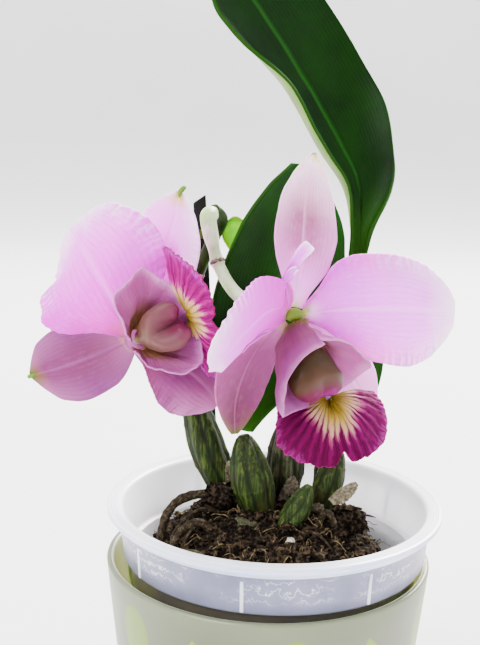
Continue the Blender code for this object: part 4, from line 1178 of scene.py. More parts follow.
dryRoot = rootVelamen("dry_root_velamen", [(0.3, "#0C0905"), (0.52, "#282015"), (0.78, "#625844")])
tipRoot = rootVelamen(
    "live_root_velamen", [(0.3, "#141008"), (0.52, "#3A3220"), (0.78, "#6C6448")], "#2A4410", 0.9
)
knobSkin = rootVelamen(
    "rhizome_skin", [(0.3, "#14140C"), (0.5, "#343424"), (0.75, "#70715C")], "#484B34", 0.3
)
for rootName, spec in roots.items():
    knobs = [(t, spec["radius"] * share) for t, share in spec.get("knobs", taper)]
    skin = {"root_front_tip": tipRoot, "rhizome": knobSkin}.get(rootName, dryRoot)
    place = stemPlace(spec["points"], knobs, rough=0.3)
    roundBody(rootName + "_body", place, 20, 60, [skin], [rootName])

# thin side roots and twigs that lie over the root ball, by their points
sideRoots = [
    ([(-17, -4, 117), (-22, -8, 123), (-29, -11, 124), (-36, -14, 118), (-39, -17, 110)], 0.8),
    ([(-12, 2, 118), (-20, 4, 124.5), (-29, 3, 126), (-38, -1, 121), (-42, -5, 112)], 1.0),
    ([(-20, -10, 116), (-26, -14, 121), (-31, -20, 119), (-35, -25, 111)], 0.6),
    ([(14, -4, 119), (20, -8, 122), (27, -10, 121.5), (33, -9, 123.0), (37.5, -8, 121.8)], 0.55),
    ([(8, -16, 118), (13, -20, 120.5), (19, -23, 117), (22, -27, 112)], 0.5),
    ([(-4, -20, 118), (-1, -26, 118), (1, -32, 114), (2, -37, 108)], 0.45),
    ([(-8, -22, 117.5), (-11, -29, 115.5), (-12, -35, 110)], 0.4),
    ([(17, 2, 119), (24.5, 0, 125), (27.0, -2.5, 122), (28, -5, 114)], 1.0),
]
bm = bmesh.new()
for points, radius in sideRoots:
    strand(bm, points, radius, 8, 26)
closeBody(bm)
finishPiece("side_roots", bm, [dryRoot], [])
print("rhizome and roots")

# Leaves, and the surface that leaves, sepals and petals share


def bladePlace(spec):
    # the midrib leaves the base along a heading, leans towards -Y and turns in its own plane, and
    # each half is an arc
    angle = math.radians(spec["angle"])
    heading = Vector((math.cos(angle), 0, math.sin(angle)))
    across = Vector((math.sin(angle), 0, -math.cos(angle)))
    front = Vector((0, -1, 0))
    steps = 40
    mid, sides, normals, at = [], [], [], Vector(spec.get("base", (0, 0, 0)))
    for i in range(steps + 1):
        v = i / steps
        lean = math.radians(stationValue(spec["lean"], v))
        sweep = math.radians(stationValue(spec.get("sweep", [(0, 0)]), v))
        flat = heading * math.cos(sweep) + across * math.sin(sweep)
        side = across * math.cos(sweep) - heading * math.sin(sweep)
        ahead = flat * math.cos(lean) + front * math.sin(lean)
        normal = side.cross(ahead)
        turn = Matrix.Rotation(math.radians(stationValue(spec.get("twist", [(0, 0)]), v)), 3, ahead)
        mid.append(at)
        sides.append(turn @ side)
        normals.append(turn @ normal)
        at = at + ahead * (spec["length"] / steps)
    fine = spec.get("fine", {})
    seed = spec["length"] + spec["angle"]

    def place(u, v):
        i = min(int(v * steps), steps - 1)
        f = v * steps - i
        here = mid[i].lerp(mid[i + 1], f)
        side = sides[i].lerp(sides[i + 1], f).normalized()
        normal = normals[i].lerp(normals[i + 1], f).normalized()
        s = 2 * u - 1
        outline = spec.get("outlineLeft" if s < 0 else "outlineRight", spec.get("outline"))
        half = 0.5 * spec["width"] * smoothValue(outline, v)
        # small waves in the cut of the margin, and its few larger notches
        for cutSide, at, width, depth in fine.get("cuts", []):
            if cutSide * s > 0:
                half *= 1 - depth * math.exp(-(((v - at) / width) ** 2)) * smoothStep(abs(s) * 2)
        half *= 1 + fine.get("nick", 0.0) * grain(s * 3, v * 26, seed, 1.0) * abs(s)
        cup = stationValue(spec["cupLeft" if s < 0 else "cupRight"], v)
        bend = cup * abs(s)
        reach = math.sin(bend) / cup if abs(cup) > 0.01 else abs(s)
        rise = (1 - math.cos(bend)) / cup if abs(cup) > 0.01 else 0.0
        off = normal * (half * rise) + side * (half * reach * (1 if s > 0 else -1))
        keel = spec.get("keel", 0.0) * (abs(s) - 0.35) * smoothStep(v * 4) * smoothStep((1 - v) * 5)
        edge = abs(s) ** 2.2 * smoothStep(v * 2.5)
        for sideSign, amount, count, shift, start in spec.get("ruffles", []):
            if sideSign * s >= 0:
                wave = math.sin(math.tau * (count * v + shift) - 1.2 * abs(s))
                off += normal * (amount * wave * edge * smoothStep((v - start) * 5))
        for sideSign, amount, count, low, high, depth in fine.get("pleats", []):
            if sideSign * s >= 0:
                share = smoothStep((v - low) * 9) * smoothStep((high - v) * 9)
                share *= smoothStep((abs(s) - depth) / (1 - depth))
                off += normal * (amount * share * math.sin(math.tau * count * v + 1.5 * abs(s)))
        crisp = fine.get("crisp", 0.0) * abs(s) ** 5 * smoothStep(v * 3)
        wave = math.sin(math.tau * v * fine.get("crispCount", 24) + 2.2 * grain(v * 9, s, seed, 1.0))
        off += normal * (crisp * wave)
        swell = fine.get("swell", 0.0) * grain(here.x + off.x, here.y + off.y, here.z + off.z, 11.0, seed)
        ribs = fine.get("ribs", 0.0) * math.cos(math.tau * 7.5 * s) * (1 - s * s) * smoothStep(v * 5)
        groove = fine.get("groove", 0.0) * math.exp(-((s / 0.05) ** 2))
        groove *= smoothStep(v * 6) * smoothStep((1 - v) * 4)
        return here + off + normal * (keel + swell * smoothStep(v * 5) + ribs - groove)

    return place


leafOutline = [(0, 0.16), (0.12, 0.42), (0.3, 0.82), (0.52, 1.0), (0.75, 0.88), (0.92, 0.5), (1, 0.14)]
tallLeafOutline = [(0, 0.15), (0.1, 0.2), (0.25, 0.62), (0.42, 0.95)]
tallLeafOutline += [(0.6, 1.0), (0.8, 0.86), (0.94, 0.5), (1, 0.14)]
leafBlades = {
    "leaf_broad": dict(
        base=(-12.4, -1.5, 152.4),
        angle=74.0,
        length=102.0,
        width=50.0,
        lean=[(0, -34), (0.3, 0), (1, 4)],
        sweep=[(0, 0), (0.5, -6), (1, -10)],
        twist=[(0, -3), (1, 26)],
        outline=leafOutline,
        cupLeft=[(0, 1.1), (0.3, 0.45), (1, 0.45)],
        cupRight=[(0, 1.2), (0.3, 0.3), (1, 0.3)],
        keel=-1.2,
    ),
    "leaf_back": dict(
        base=(23.6, 2.0, 147.2),
        angle=86.0,
        length=60.0,
        width=27.0,
        lean=[(0, -42), (0.35, -16), (1, 0)],
        sweep=[(0, 6), (0.4, 2), (1, -8)],
        outline=leafOutline,
        cupLeft=[(0, 1.1), (0.3, 0.4), (1, 0.25)],
        cupRight=[(0, 1.1), (0.3, 0.4), (1, 0.25)],
        keel=-1.0,
    ),
    "leaf_tall": dict(
        base=(30.6, 30.8, 204.6),
        angle=86.5,
        length=162.0,
        width=54.0,
        lean=[(0, -12), (0.35, -14), (0.7, 9), (1, 40)],
        sweep=[(0, 3), (0.15, -5), (0.3, -33), (0.6, -38), (0.8, -44), (1, -79)],
        twist=[(0, -20), (0.25, 18), (0.5, 34), (1, 35)],
        outline=tallLeafOutline,
        cupLeft=[(0, 1.5), (0.2, 1.9), (0.5, 1.5), (0.8, 0.7), (1, 0.4)],
        cupRight=[(0, 1.8), (0.3, 0.65), (1, 0.3)],
        keel=-1.4,
    ),
}
leafTop = leafCuticle("leaf_cuticle_top", leafTopLook)
leafUnder = leafCuticle("leaf_cuticle_under", leafUnderLook)
tallTop = leafCuticle("tall_leaf_painted_shade", tallTopLook)
for leafName, spec in leafBlades.items():
    spec["fine"] = dict(nick=0.005, crisp=0.08, crispCount=6, swell=0.4, ribs=0.03, groove=0.7)
    skins = [tallTop if leafName == "leaf_tall" else leafTop, leafUnder]
    thinSheet(leafName + "_blade", bladePlace(spec), 56, 130, 1.5, skins, [leafName], "leaf_green")

drySheath = dict(
    base=(20.5, -9.0, 128.0),
    angle=38.0,
    length=12.0,
    width=6.0,
    lean=[(0, 10), (1, -12)],
    outline=[(0, 0.5), (0.4, 1.0), (0.8, 0.7), (1, 0.25)],
    cupLeft=[(0, 0.9), (1, 0.6)],
    cupRight=[(0, 0.9), (1, 0.6)],
)
drySheath["fine"] = dict(nick=0.12, crisp=0.3, crispCount=7, swell=0.4)
thinSheet(
    "dry_sheath_flap", bladePlace(drySheath), 20, 26, 0.4, [sheathSkin], ["dry_sheath"], "dry_sheath_tan"
)
print("leaves and dry sheath")

# Flower stem with its two stalks, the bract behind its bend, the stake and the tie

peduncle = [
    (-34.5, 14, 171.5),
    (-35, 13.5, 190),
    (-31, 11, 207),
    (-25.5, 9.5, 221),
    (-21.8, 7, 229.5),
    (-25, 2.5, 233),
]
rightStalk = [
    (-24.5, 5, 232),
    (-26.5, -1.5, 231),
    (-25, -5, 223.5),
    (-22, -8, 214),
    (-16, -11.5, 205.5),
    (-7, -16, 201),
    (1, -21.6, 200.4),
]
leftStalk = [(-33, 12, 201.5), (-37, 7, 200.5), (-43.5, 1.0, 195), (-49.8, -7.2, 188.6)]
bract = dict(
    base=(-15.6, 14.6, 216.0),
    angle=96.0,
    length=17.5,
    width=12.5,
    lean=[(0, -12), (0.5, 20), (1, 70)],
    outline=[(0, 0.3), (0.2, 0.75), (0.5, 1.0), (0.8, 0.8), (1, 0.3)],
    cupLeft=[(0, 1.2), (1, 0.9)],
    cupRight=[(0, 1.2), (1, 0.9)],
)
stalkRadii = [
    (0, 2.2), (0.12, 3.1), (0.3, 2.8), (0.405, 2.15), (0.44, 2.3), (0.455, 2.62), (0.475, 2.62),
    (0.49, 2.2), (0.8, 2.5), (1, 2.3),
]
# the right stalk's nearly white copy is partly its wax bloom and partly a painted highlight; the dark copy
# below, for the main stem and the left stalk, is painted shade
waxAndHighlightStem = stemSkin("waxy_stem_painted_highlight", ("#A0D078", "#ECF8DC"), "#7CA850", glow=0.3, shine=0.5)
greenStem = stemSkin("green_stem", ("#0E2402", "#24400A"), "#0C1C02", glow=0.2, shine=0.1)
bractSkin = stemSkin("lime_bract", ("#6C8404", "#94A00C"), "#4C6004", glow=0.8, shine=0.15)
stemMain = stemPlace(peduncle, [(0, 2.4), (0.8, 2.2), (1, 2.8)], flute=0.02)
stalkRight = stemPlace(rightStalk, stalkRadii, flute=0.015)
stalkLeft = stemPlace(leftStalk, [(0, 1.7), (0.4, 2.1), (1, 2.3)])
roundBody("flower_stem_main", stemMain, 28, 120, [greenStem], ["flower_stem"])
roundBody("flower_stalk_right", stalkRight, 28, 150, [waxAndHighlightStem], [])
roundBody("flower_stalk_left", stalkLeft, 24, 80, [greenStem], [])
bract["fine"] = dict(nick=0.02, swell=0.2)
thinSheet("lime_bract_hood", bladePlace(bract), 30, 36, 0.6, [bractSkin], ["bract"], "stem_green")


def jointRing(points, t, radius, name):
    # the dry, frayed collar where a small sheath once sat on the stalk
    here, side, other = crossFrame(lambda k: curvePoint(points, k), t, Vector((0.3, 0.9, 0.2)).normalized())
    ahead = side.cross(other)

    def place(turn, v):
        angle = math.tau * turn
        fray = 0.35 * grain(math.cos(angle) * 4, math.sin(angle) * 4, v, 1.0, 3.0)
        r = radius + 0.35 * math.sin(math.pi * v) + 0.15 * fray
        spoke = side * math.cos(angle) + other * math.sin(angle)
        return here + spoke * r + ahead * ((v - 0.5) * 1.7 + fray * v)

    return roundBody(name, place, 40, 10, [sheathSkin], [])


jointRing(rightStalk, 0.463, 2.5, "joint_ring_right")
jointRing(peduncle, 0.42, 2.35, "joint_ring_main")

stake = dict(foot=(-23.0, 21.5, 112.0), head=(-30.6, 19.0, 236.0), width=4.6, depth=3.4, slant=1.6)
clip = dict(z=223.0, height=3.4, over=3.0)  # over is what it adds to the stake's width and depth
stakeSkin = stakePlastic("dark_green_polypropylene", "#060906", "#10160E")
tieSkin = stakePlastic("olive_polyethylene", "#2C3410", "#485020")


def bevelledBar(name, ends, width, depth, slant, bevel, material, nodes):
    bm = bmesh.new()
    bmesh.ops.create_cube(bm, size=1.0)
    for vert in bm.verts:
        onTop = vert.co.z > 0
        lift = slant * vert.co.x * 2 if onTop else 0.0
        vert.co = toWorld(ends[onTop] + Vector((vert.co.x * width, vert.co.y * depth, lift)))
    roundEdges(bm, bevel, 3)
    return finishPiece(name, bm, [material], nodes, 40.0)


foot, head = Vector(stake["foot"]), Vector(stake["head"])
width, depth = stake["width"], stake["depth"]
bevelledBar(
    "stake_bar", (foot, head), width, depth, stake["slant"], 0.5, stakeSkin, ["stake"]
)
clipAt = foot.lerp(head, (clip["z"] - foot.z) / (head.z - foot.z))
clipHalf = Vector((0, 0, clip["height"] / 2))
clipEnds, over = (clipAt - clipHalf, clipAt + clipHalf), clip["over"]
bevelledBar(
    "plant_tie_clip", clipEnds, width + over, depth + over, 0.0, 0.7, tieSkin, ["plant_tie"]
)
print("flower stem, bract, stake and tie")

# The two blooms: each has three sepals, two petals, a lip wrapped round its column, and the column

sepalOutline = [(0, 0.24), (0.1, 0.36), (0.3, 0.8), (0.5, 1.0)]
sepalOutline += [(0.68, 0.93), (0.86, 0.6), (0.95, 0.3), (1, 0.08)]
petalOutline = [(0, 0.14), (0.1, 0.3), (0.28, 0.72), (0.5, 0.98)]
petalOutline += [(0.7, 1.0), (0.86, 0.82), (0.96, 0.5), (1, 0.2)]
smoothCup = [(0, 0.5), (0.4, 0.2), (1, 0.3)]
broadMargin = [(0, 0.16), (0.1, 0.45), (0.22, 0.8), (0.4, 0.98)]
broadMargin += [(0.6, 1.0), (0.8, 0.86), (0.94, 0.55), (1, 0.24)]
narrowMargin = [(0, 0.12), (0.12, 0.26), (0.3, 0.62), (0.5, 0.94)]
narrowMargin += [(0.7, 1.0), (0.86, 0.82), (0.96, 0.5), (1, 0.24)]
fullBaseOutline = [(0, 0.22), (0.12, 0.52), (0.3, 0.92), (0.5, 1.0)]
fullBaseOutline += [(0.68, 0.9), (0.86, 0.55), (0.95, 0.3), (1, 0.1)]
rightTepals = {
    "right_dorsal_sepal": dict(
        base=(0.0, 3.3, 3.1),
        angle=88.0,
        length=53.0,
        width=29.0,
        lean=[(0, -2), (0.5, -14), (1, 9)],
        sweep=[(0, 6), (1, 0)],
        twist=[(0, -6), (1, 16)],
        outline=sepalOutline,
        cupLeft=[(0, 0.7), (0.4, 0.35), (1, 0.15)],
        cupRight=[(0, 0.65), (0.4, 0.15), (1, 0.1)],
    ),
    "right_petal_right": dict(
        base=(3.4, 1.5, 1.1),
        angle=5.0,
        length=54.0,
        width=40.0,
        lean=[(0, 10), (0.5, 29), (1, 27)],
        sweep=[(0, -3), (0.5, -3), (1, 8)],
        twist=[(0, 1), (1, -19)],
        outlineLeft=broadMargin,
        outlineRight=narrowMargin,
        cupLeft=[(0, 0.5), (0.4, -0.5), (1, -0.45)],
        cupRight=[(0, 0.4), (0.4, -0.25), (1, -0.25)],
        ruffles=[(1, 0.9, 5.0, 0.1, 0.35), (-1, 0.7, 4.0, 0.4, 0.45)],
    ),
    "right_petal_left": dict(
        base=(-3.4, 1.5, 1.1),
        angle=168.0,
        length=53.5,
        width=29.0,
        lean=[(0, 43), (0.35, 28), (0.7, 32), (1, 0)],
        sweep=[(0, 15), (0.5, -38), (1, -48)],
        twist=[(0, 8), (0.5, -18), (1, -28)],
        outline=petalOutline,
        cupLeft=[(0, 0.5), (0.4, -0.9), (1, -0.9)],
        cupRight=[(0, 0.35), (0.4, -0.15), (1, -0.3)],
        ruffles=[(-1, 0.7, 5.0, 0.2, 0.4)],
    ),
    "right_sepal_left": dict(
        base=(-2.1, 3.4, -1.8),
        angle=250.5,
        length=45.0,
        width=29.0,
        lean=[(0, -18), (0.4, -13), (1, 14)],
        sweep=[(0, 22), (0.5, -8), (1, -21)],
        twist=[(0, -26), (0.4, -28), (1, -11)],
        outline=fullBaseOutline,
        cupLeft=[(0, 0.0), (0.4, 0.3), (1, 0.1)],
        cupRight=[(0, 0.5), (0.4, -0.35), (1, 0.55)],
    ),
    "right_sepal_right": dict(
        base=(2.1, 3.4, -1.8),
        angle=308.0,
        length=56.0,
        width=20.5,
        lean=[(0, -14), (0.5, 7), (1, 7)],
        sweep=[(0, -25), (1, 10)],
        twist=[(0, 14), (1, -10)],
        outline=sepalOutline,
        cupLeft=[(0, 0.3), (0.4, 0.25), (1, 0.2)],
        cupRight=[(0, 0.5), (0.4, 0.3), (1, 0.25)],
    ),
}
leftTepals = {
    "left_dorsal_sepal": dict(
        base=(0.0, 3.3, 3.1),
        angle=92.0,
        length=45.0,
        width=30.5,
        lean=[(0, -28), (0.5, -2), (1, -12)],
        sweep=[(0, -6), (1, 2)],
        twist=[(0, -11), (1, -10)],
        outline=[(0, 0.24), (0.12, 0.5), (0.35, 0.9), (0.58, 1.0), (0.78, 0.82), (0.92, 0.42), (1, 0.1)],
        cupLeft=[(0, 0.15), (0.4, 0.05), (1, 0.3)],
        cupRight=[(0, 0.15), (0.4, 0.3), (1, 0.3)],
    ),
    "left_petal_upper": dict(
        base=(3.4, 1.5, 1.1),
        angle=9.0,
        length=44.0,
        width=55.0,
        lean=[(0, 26), (0.5, -7), (1, -22)],
        sweep=[(0, 2), (1, -10)],
        twist=[(0, 5), (1, -26)],
        outline=petalOutline,
        cupLeft=[(0, 0.3), (0.4, 0.2), (1, -0.3)],
        cupRight=[(0, 0.4), (0.4, -0.3), (1, -0.1)],
        ruffles=[(1, 1.2, 3.0, 0.1, 0.3), (-1, 1.4, 3.0, 0.4, 0.3)],
    ),
    "left_petal_lower": dict(
        base=(-3.4, 1.5, 1.1),
        angle=202.0,
        length=37.0,
        width=31.0,
        lean=[(0, 8), (0.5, 0), (1, -22)],
        sweep=[(0, -38), (1, 7)],
        twist=[(0, -25), (1, -16)],
        outline=petalOutline,
        cupLeft=[(0, 0.2), (0.4, -0.2), (1, -0.3)],
        cupRight=[(0, 0.5), (0.4, -0.1), (1, -0.35)],
        ruffles=[(1, 0.7, 4.0, 0.2, 0.4)],
    ),
    "left_sepal_upper": dict(
        base=(2.1, 3.4, -1.8),
        angle=323.5,
        length=54.0,
        width=29.0,
        lean=[(0, -18), (0.5, 9), (1, 17)],
        sweep=[(0, -1), (1, -2)],
        twist=[(0, -16), (0.4, -22), (1, -13)],
        outline=sepalOutline,
        cupLeft=[(0, 0.1), (0.4, -0.2), (1, 0.3)],
        cupRight=[(0, 0.3), (0.4, 0.2), (1, 0.3)],
    ),
    "left_sepal_lower": dict(
        base=(-2.1, 3.4, -1.8),
        angle=236.0,
        length=44.0,
        width=21.0,
        lean=[(0, -26), (0.5, -22), (1, 4)],
        outline=sepalOutline,
        cupLeft=smoothCup,
        cupRight=smoothCup,
    ),
}
rightBloom = dict(centre=(4.6, -28.0, 200.5), yaw=31.0, pitch=2.0, roll=5.0)
leftBloom = dict(centre=(-51.0, -13.0, 188.0), yaw=-8.0, pitch=0.0, roll=-109.0)
petalFine = dict(nick=0.006, crisp=0.25, crispCount=19, swell=0.8, ribs=0.03, groove=0.5)
sepalFine = dict(nick=0.004, crisp=0.06, crispCount=9, swell=0.4, ribs=0.03, groove=0.5)
# waves that only one margin has: side, height, count, from, to, how far in they start
ownPleats = dict(
    right_petal_right=[
        (1, 0.9, 22.0, 0.56, 0.96, 0.5), (1, 0.8, 5.0, 0.1, 0.5, 0.4), (-1, 0.45, 21.0, 0.4, 0.95, 0.75)
    ],
    right_petal_left=[(1, 0.22, 17.0, 0.62, 1.0, 0.6), (-1, 0.5, 7.0, 0.3, 0.9, 0.5)],
    left_petal_upper=[
        (1, 1.2, 15.0, 0.72, 0.98, 0.4), (-1, 1.9, 7.0, 0.68, 0.88, 0.6), (-1, 0.8, 4.0, 0.1, 0.6, 0.5)
    ],
    left_petal_lower=[(1, 0.5, 6.0, 0.3, 0.95, 0.4)],
)
# notches and bays in one margin: side, station, width, depth
ownCuts = dict(
    left_petal_upper=[(-1, 0.79, 0.06, 0.13), (-1, 0.32, 0.14, -0.12), (-1, 0.97, 0.06, 0.12)],
    right_petal_right=[(1, 0.93, 0.05, 0.06), (1, 0.3, 0.05, 0.05)],
)


def bloomTurn(spot):
    yaw, pitch, roll = (math.radians(spot[k]) for k in ("yaw", "pitch", "roll"))
    facing = Matrix.Rotation(yaw, 4, "Z") @ Matrix.Rotation(pitch, 4, "X")
    return Matrix.Translation(Vector(spot["centre"])) @ facing @ Matrix.Rotation(roll, 4, "Y")


tissues = dict(
    right_petal_right=petalTissue("sunlit_petal_tissue", petalLook),
    right_dorsal_sepal=petalTissue("pale_dorsal_sepal_tissue", dorsalLook),
    right_sepal_left=petalTissue("sepal_tissue_painted_shade", sepalLook),
    right_sepal_right=petalTissue("sunlit_sepal_tissue", farSepal),
    left_petal_upper=petalTissue("glowing_petal_tissue", shadedPetal),
    left_petal_lower=petalTissue("lower_petal_painted_shade", lowPetal),
    left_sepal_upper=petalTissue("pale_green_tipped_sepal_tissue", paleUpper),
    left_dorsal_sepal=petalTissue("green_tipped_sepal_painted_shade", greenTip),
)
tissues["right_petal_left"] = tissues["left_petal_upper"]
tissues["left_sepal_lower"] = tissues["right_sepal_left"]
tissues["fold"] = petalTissue("folded_petal_painted_shade", foldShadeLook)
for tepals, spot in ((rightTepals, rightBloom), (leftTepals, leftBloom)):
    turn = bloomTurn(spot)
    for name, spec in tepals.items():
        kind, fine = ("petal", petalFine) if "petal" in name else ("sepal", sepalFine)
        spec["fine"] = dict(fine, pleats=ownPleats.get(name, []), cuts=ownCuts.get(name, []))
        thinSheet(
            name + "_blade", bladePlace(spec), 56, 90, 0.6, [tissues[name]], [name], kind + "_pink", turn
        )
print("blooms: sepals and petals")


def lipAxes(lip):
    dip = math.radians(lip["dip"])
    swing = Matrix.Rotation(math.radians(lip["swing"]), 3, "Y")
    ahead = swing @ Vector((0, -math.cos(dip), -math.sin(dip)))
    across = swing @ Vector((1, 0, 0))
    return ahead, ahead.cross(across), across


tubeRadius = [(0, 3.4), (0.12, 4.6), (0.3, 8.6), (0.55, 11.4), (0.8, 12.6), (1.0, 13.2)]


def lipDrift(lip, s):
    # the tube and the column bow to one side between the flower's centre and the throat
    return lip["drift"] * smoothStep(s / 6) * (1 - smoothStep((s - 20) / 12))


def tubePlace(lip):
    # the two side lobes wrap round the column, stop short of each other on top and flare at their rims
    ahead, up, across = lipAxes(lip)

    def place(u, v):
        turn = 2 * u - 1
        angle = math.radians(turn * (lip["wrap"] if turn > 0 else lip["wrapLeft"]))
        rim = lip["rimRight"] if turn > 0 else lip["rimLeft"]
        s = 2.0 + v * (smoothValue(rim, abs(turn)) - 2.0)
        flare = smoothValue(lip["flareRight"] if turn > 0 else lip["flareLeft"], abs(turn))
        out = flare * smoothStep((v - 0.45) / 0.55)
        r = stationValue(tubeRadius, s / 28.0) + out
        r += 0.55 * math.sin(9 * math.pi * turn) * v**3 * smoothStep(abs(turn) * 4)
        r += 0.2 * math.sin(
            26 * math.pi * turn + 2.0 * grain(turn * 5, v * 3, 0, 1.0)
        ) * smoothStep((v - 0.8) / 0.2)
        r += 0.05 * math.cos(30 * math.pi * turn) * math.sin(math.pi * v)
        r += 0.8 * smoothStep((-math.degrees(angle) - 140) / 25)  # the left lobe lies over the right one
        s -= 0.3 * max(out, 0.0)
        s += 0.5 * grain(turn * 8, 0, v, 1.0, lip["dip"]) * v**3
        rise = -math.cos(angle) * r * lip["roofShare" if abs(turn) > 0.5 else "floorShare"]
        return ahead * s + across * (math.sin(angle) * r + lipDrift(lip, s)) + up * rise

    return place


def fanReach(angle, trim):
    notch = 0.15 * math.exp(-((angle / 0.09) ** 2))
    return 1.0 - notch - 0.1 * smoothStep(
        (abs(angle) - 0.7) / 1.2
    ) - trim * smoothStep((-angle - 0.9) / 0.7)


def fanPlace(lip):
    # the ribbed fan of the lip, arched across, with a crimped rim that curls down
    ahead, up, across = lipAxes(lip)
    hinge, height = lip["throat"]
    throat = ahead * hinge + up * height + across * lip["shift"]
    droop = Matrix.Rotation(math.radians(-lip["droop"]), 3, across)
    tilt = Matrix.Rotation(math.radians(lip["tilt"]), 3, droop @ up)
    ahead, up, across = tilt @ droop @ ahead, droop @ up, tilt @ across
    length, halfWidth = lip["bladeLength"], lip["bladeHalfWidth"]
    halfFan = math.radians(lip["halfFan"])
    root = 0.06

    def place(u, v):
        angle = (2 * u - 1) * halfFan
        nick = 0.025 * grain(angle * 9, v * 2, 0, 1.0, lip["dip"]) * v**3
        reach = (root + v * (1 - root)) * fanReach(angle, lip["trim"]) + nick
        x = reach * math.sin(angle)
        y = reach * math.cos(angle)
        rib = 0.22 * math.cos(26 * angle + grain(angle * 3, v, 0, 1.0)) * smoothStep(v * 2)
        wave = 0.8 * math.sin(5 * angle + lip["waveShift"]) * smoothStep((v - 0.5) * 2)
        crimp = 0.28 * math.sin(
            60 * angle + 3 * grain(angle * 4, v * 2, 0, 1.0)
        ) * smoothStep((v - 0.72) / 0.28)
        warts = 0.25 * grain(x * halfWidth, y * length, 0, 1.6, 4.0) * smoothStep(v * 3)
        keels = 0.7 * math.exp(-(((abs(angle) - 0.13) / 0.05) ** 2)) * (1 - smoothStep((v - 0.25) / 0.4))
        lift = 1.2 * math.sin(math.pi * min(v * 1.2, 1.0))
        lift -= lip["curl"] * reach * reach + lip["arch"] * x * x
        lift += rib + wave + crimp + warts + keels
        return throat + ahead * (y * length) + across * (x * halfWidth) + up * lift

    return place


def columnPlace(lip):
    # the hooded column, with a shallow cleft down its front to the anther cap
    ahead, up, across = lipAxes(lip)
    widths = [(0, 2.0), (0.12, 2.6), (0.3, 5.4), (0.6, 9.0), (0.8, 9.8), (0.94, 7.8), (1.0, 4.6)]
    depths = [(0, 1.8), (0.12, 2.4), (0.3, 4.0), (0.6, 6.0), (0.8, 6.8), (0.94, 5.0), (1.0, 2.4)]
    bows = [(0, 0.0), (0.4, 0.6), (0.75, 0.2), (1.0, -2.8)]

    def place(turn, v):
        angle = math.tau * turn
        s = 1.6 + v * (lip["columnLength"] - 1.6)
        cleft = lip["cleft"] * math.exp(-((math.sin(angle) / 0.32) ** 2)) * smoothStep((v - 0.6) * 2.5)
        x = math.sin(angle) * smoothValue(widths, v) * lip["columnSize"]
        h = math.cos(angle) * smoothValue(depths, v) * lip["columnSize"] - (
            cleft if math.cos(angle) >= 0 else 0.0
        )
        h += 0.25 * grain(x, h, s, 2.4, 6.0)
        if h < 0:
            h *= 0.6
        # two wings reach past the anther on either side of it
        s += lip["wings"] * (abs(math.sin(angle)) - 0.4) * smoothStep((v - 0.55) / 0.4)
        return ahead * s + across * (x + lipDrift(lip, s)) + up * (h + stationValue(bows, v))

    return place


rightLip = dict(
    dip=58.0,
    swing=-16.5,
    wrap=168.0,
    floorShare=0.6,
    roofShare=0.85,
    rimLeft=[(0, 29.5), (0.25, 29.5), (0.4, 31.0), (0.52, 25.0), (0.66, 17.5), (0.8, 14.5), (1.0, 13.0)],
    rimRight=[(0, 29.5), (0.3, 28.0), (0.5, 27.0), (0.65, 21.0), (0.82, 13.0), (1.0, 10.5)],
    flareLeft=[(0, 0.0), (0.25, 1.5), (0.4, 4.5), (0.55, 2.5), (0.7, 0.5), (1, 0.0)],
    flareRight=[(0, 0.0), (0.3, 4.5), (0.5, 9.5), (0.7, 5.0), (0.85, 1.0), (1, 0.0)],
    throat=(28.5, -7.7),
    shift=3.5,
    droop=22.0,
    tilt=-13.0,
    bladeLength=22.4,
    bladeHalfWidth=24.4,
    halfFan=104.0,
    waveShift=0.4,
    curl=7.5,
    arch=2.0,
    columnLength=28.0,
    wrapLeft=200.0,
    drift=-3.3,
    trim=0.2,
    wings=1.5,
    columnSize=1.0,
    cleft=1.0,
)
leftLip = dict(
    dip=48.0,
    swing=-12.0,
    wrap=168.0,
    floorShare=0.6,
    roofShare=0.85,
    rimLeft=[(0, 27.5), (0.3, 27.0), (0.5, 26.0), (0.7, 18.0), (0.85, 12.0), (1.0, 10.0)],
    rimRight=[(0, 27.5), (0.3, 27.0), (0.5, 27.0), (0.7, 22.0), (0.85, 15.0), (1.0, 10.0)],
    flareLeft=[(0, 0.0), (0.3, 2.0), (0.5, 4.0), (0.7, 3.0), (1, 0.0)],
    flareRight=[(0, 0.0), (0.3, 3.0), (0.5, 8.0), (0.72, 8.0), (0.86, 2.0), (1, 0.0)],
    throat=(25.0, -7.8),
    shift=0.8,
    droop=8.0,
    tilt=-24.0,
    bladeLength=16.5,
    bladeHalfWidth=27.0,
    halfFan=103.0,
    waveShift=2.0,
    curl=2.0,
    arch=-1.5,
    columnLength=26.0,
    wrapLeft=168.0,
    drift=0.0,
    trim=0.0,
    wings=7.0,
    cleft=3.2,
    columnSize=0.86,
)
lobeOutside = lipTissue("side_lobe_outside", lobeOutsideLook)
lobeInside = lipTissue("side_lobe_inside", lobeInsideLook)
rightMidlobe = lipTissue("magenta_lip_tissue", midlobeLook)
leftMidlobe = lipTissue("lip_tissue_painted_light", litMidlobeLook)
midlobeBack = lipTissue("lip_underside_tissue", midlobeBackLook)
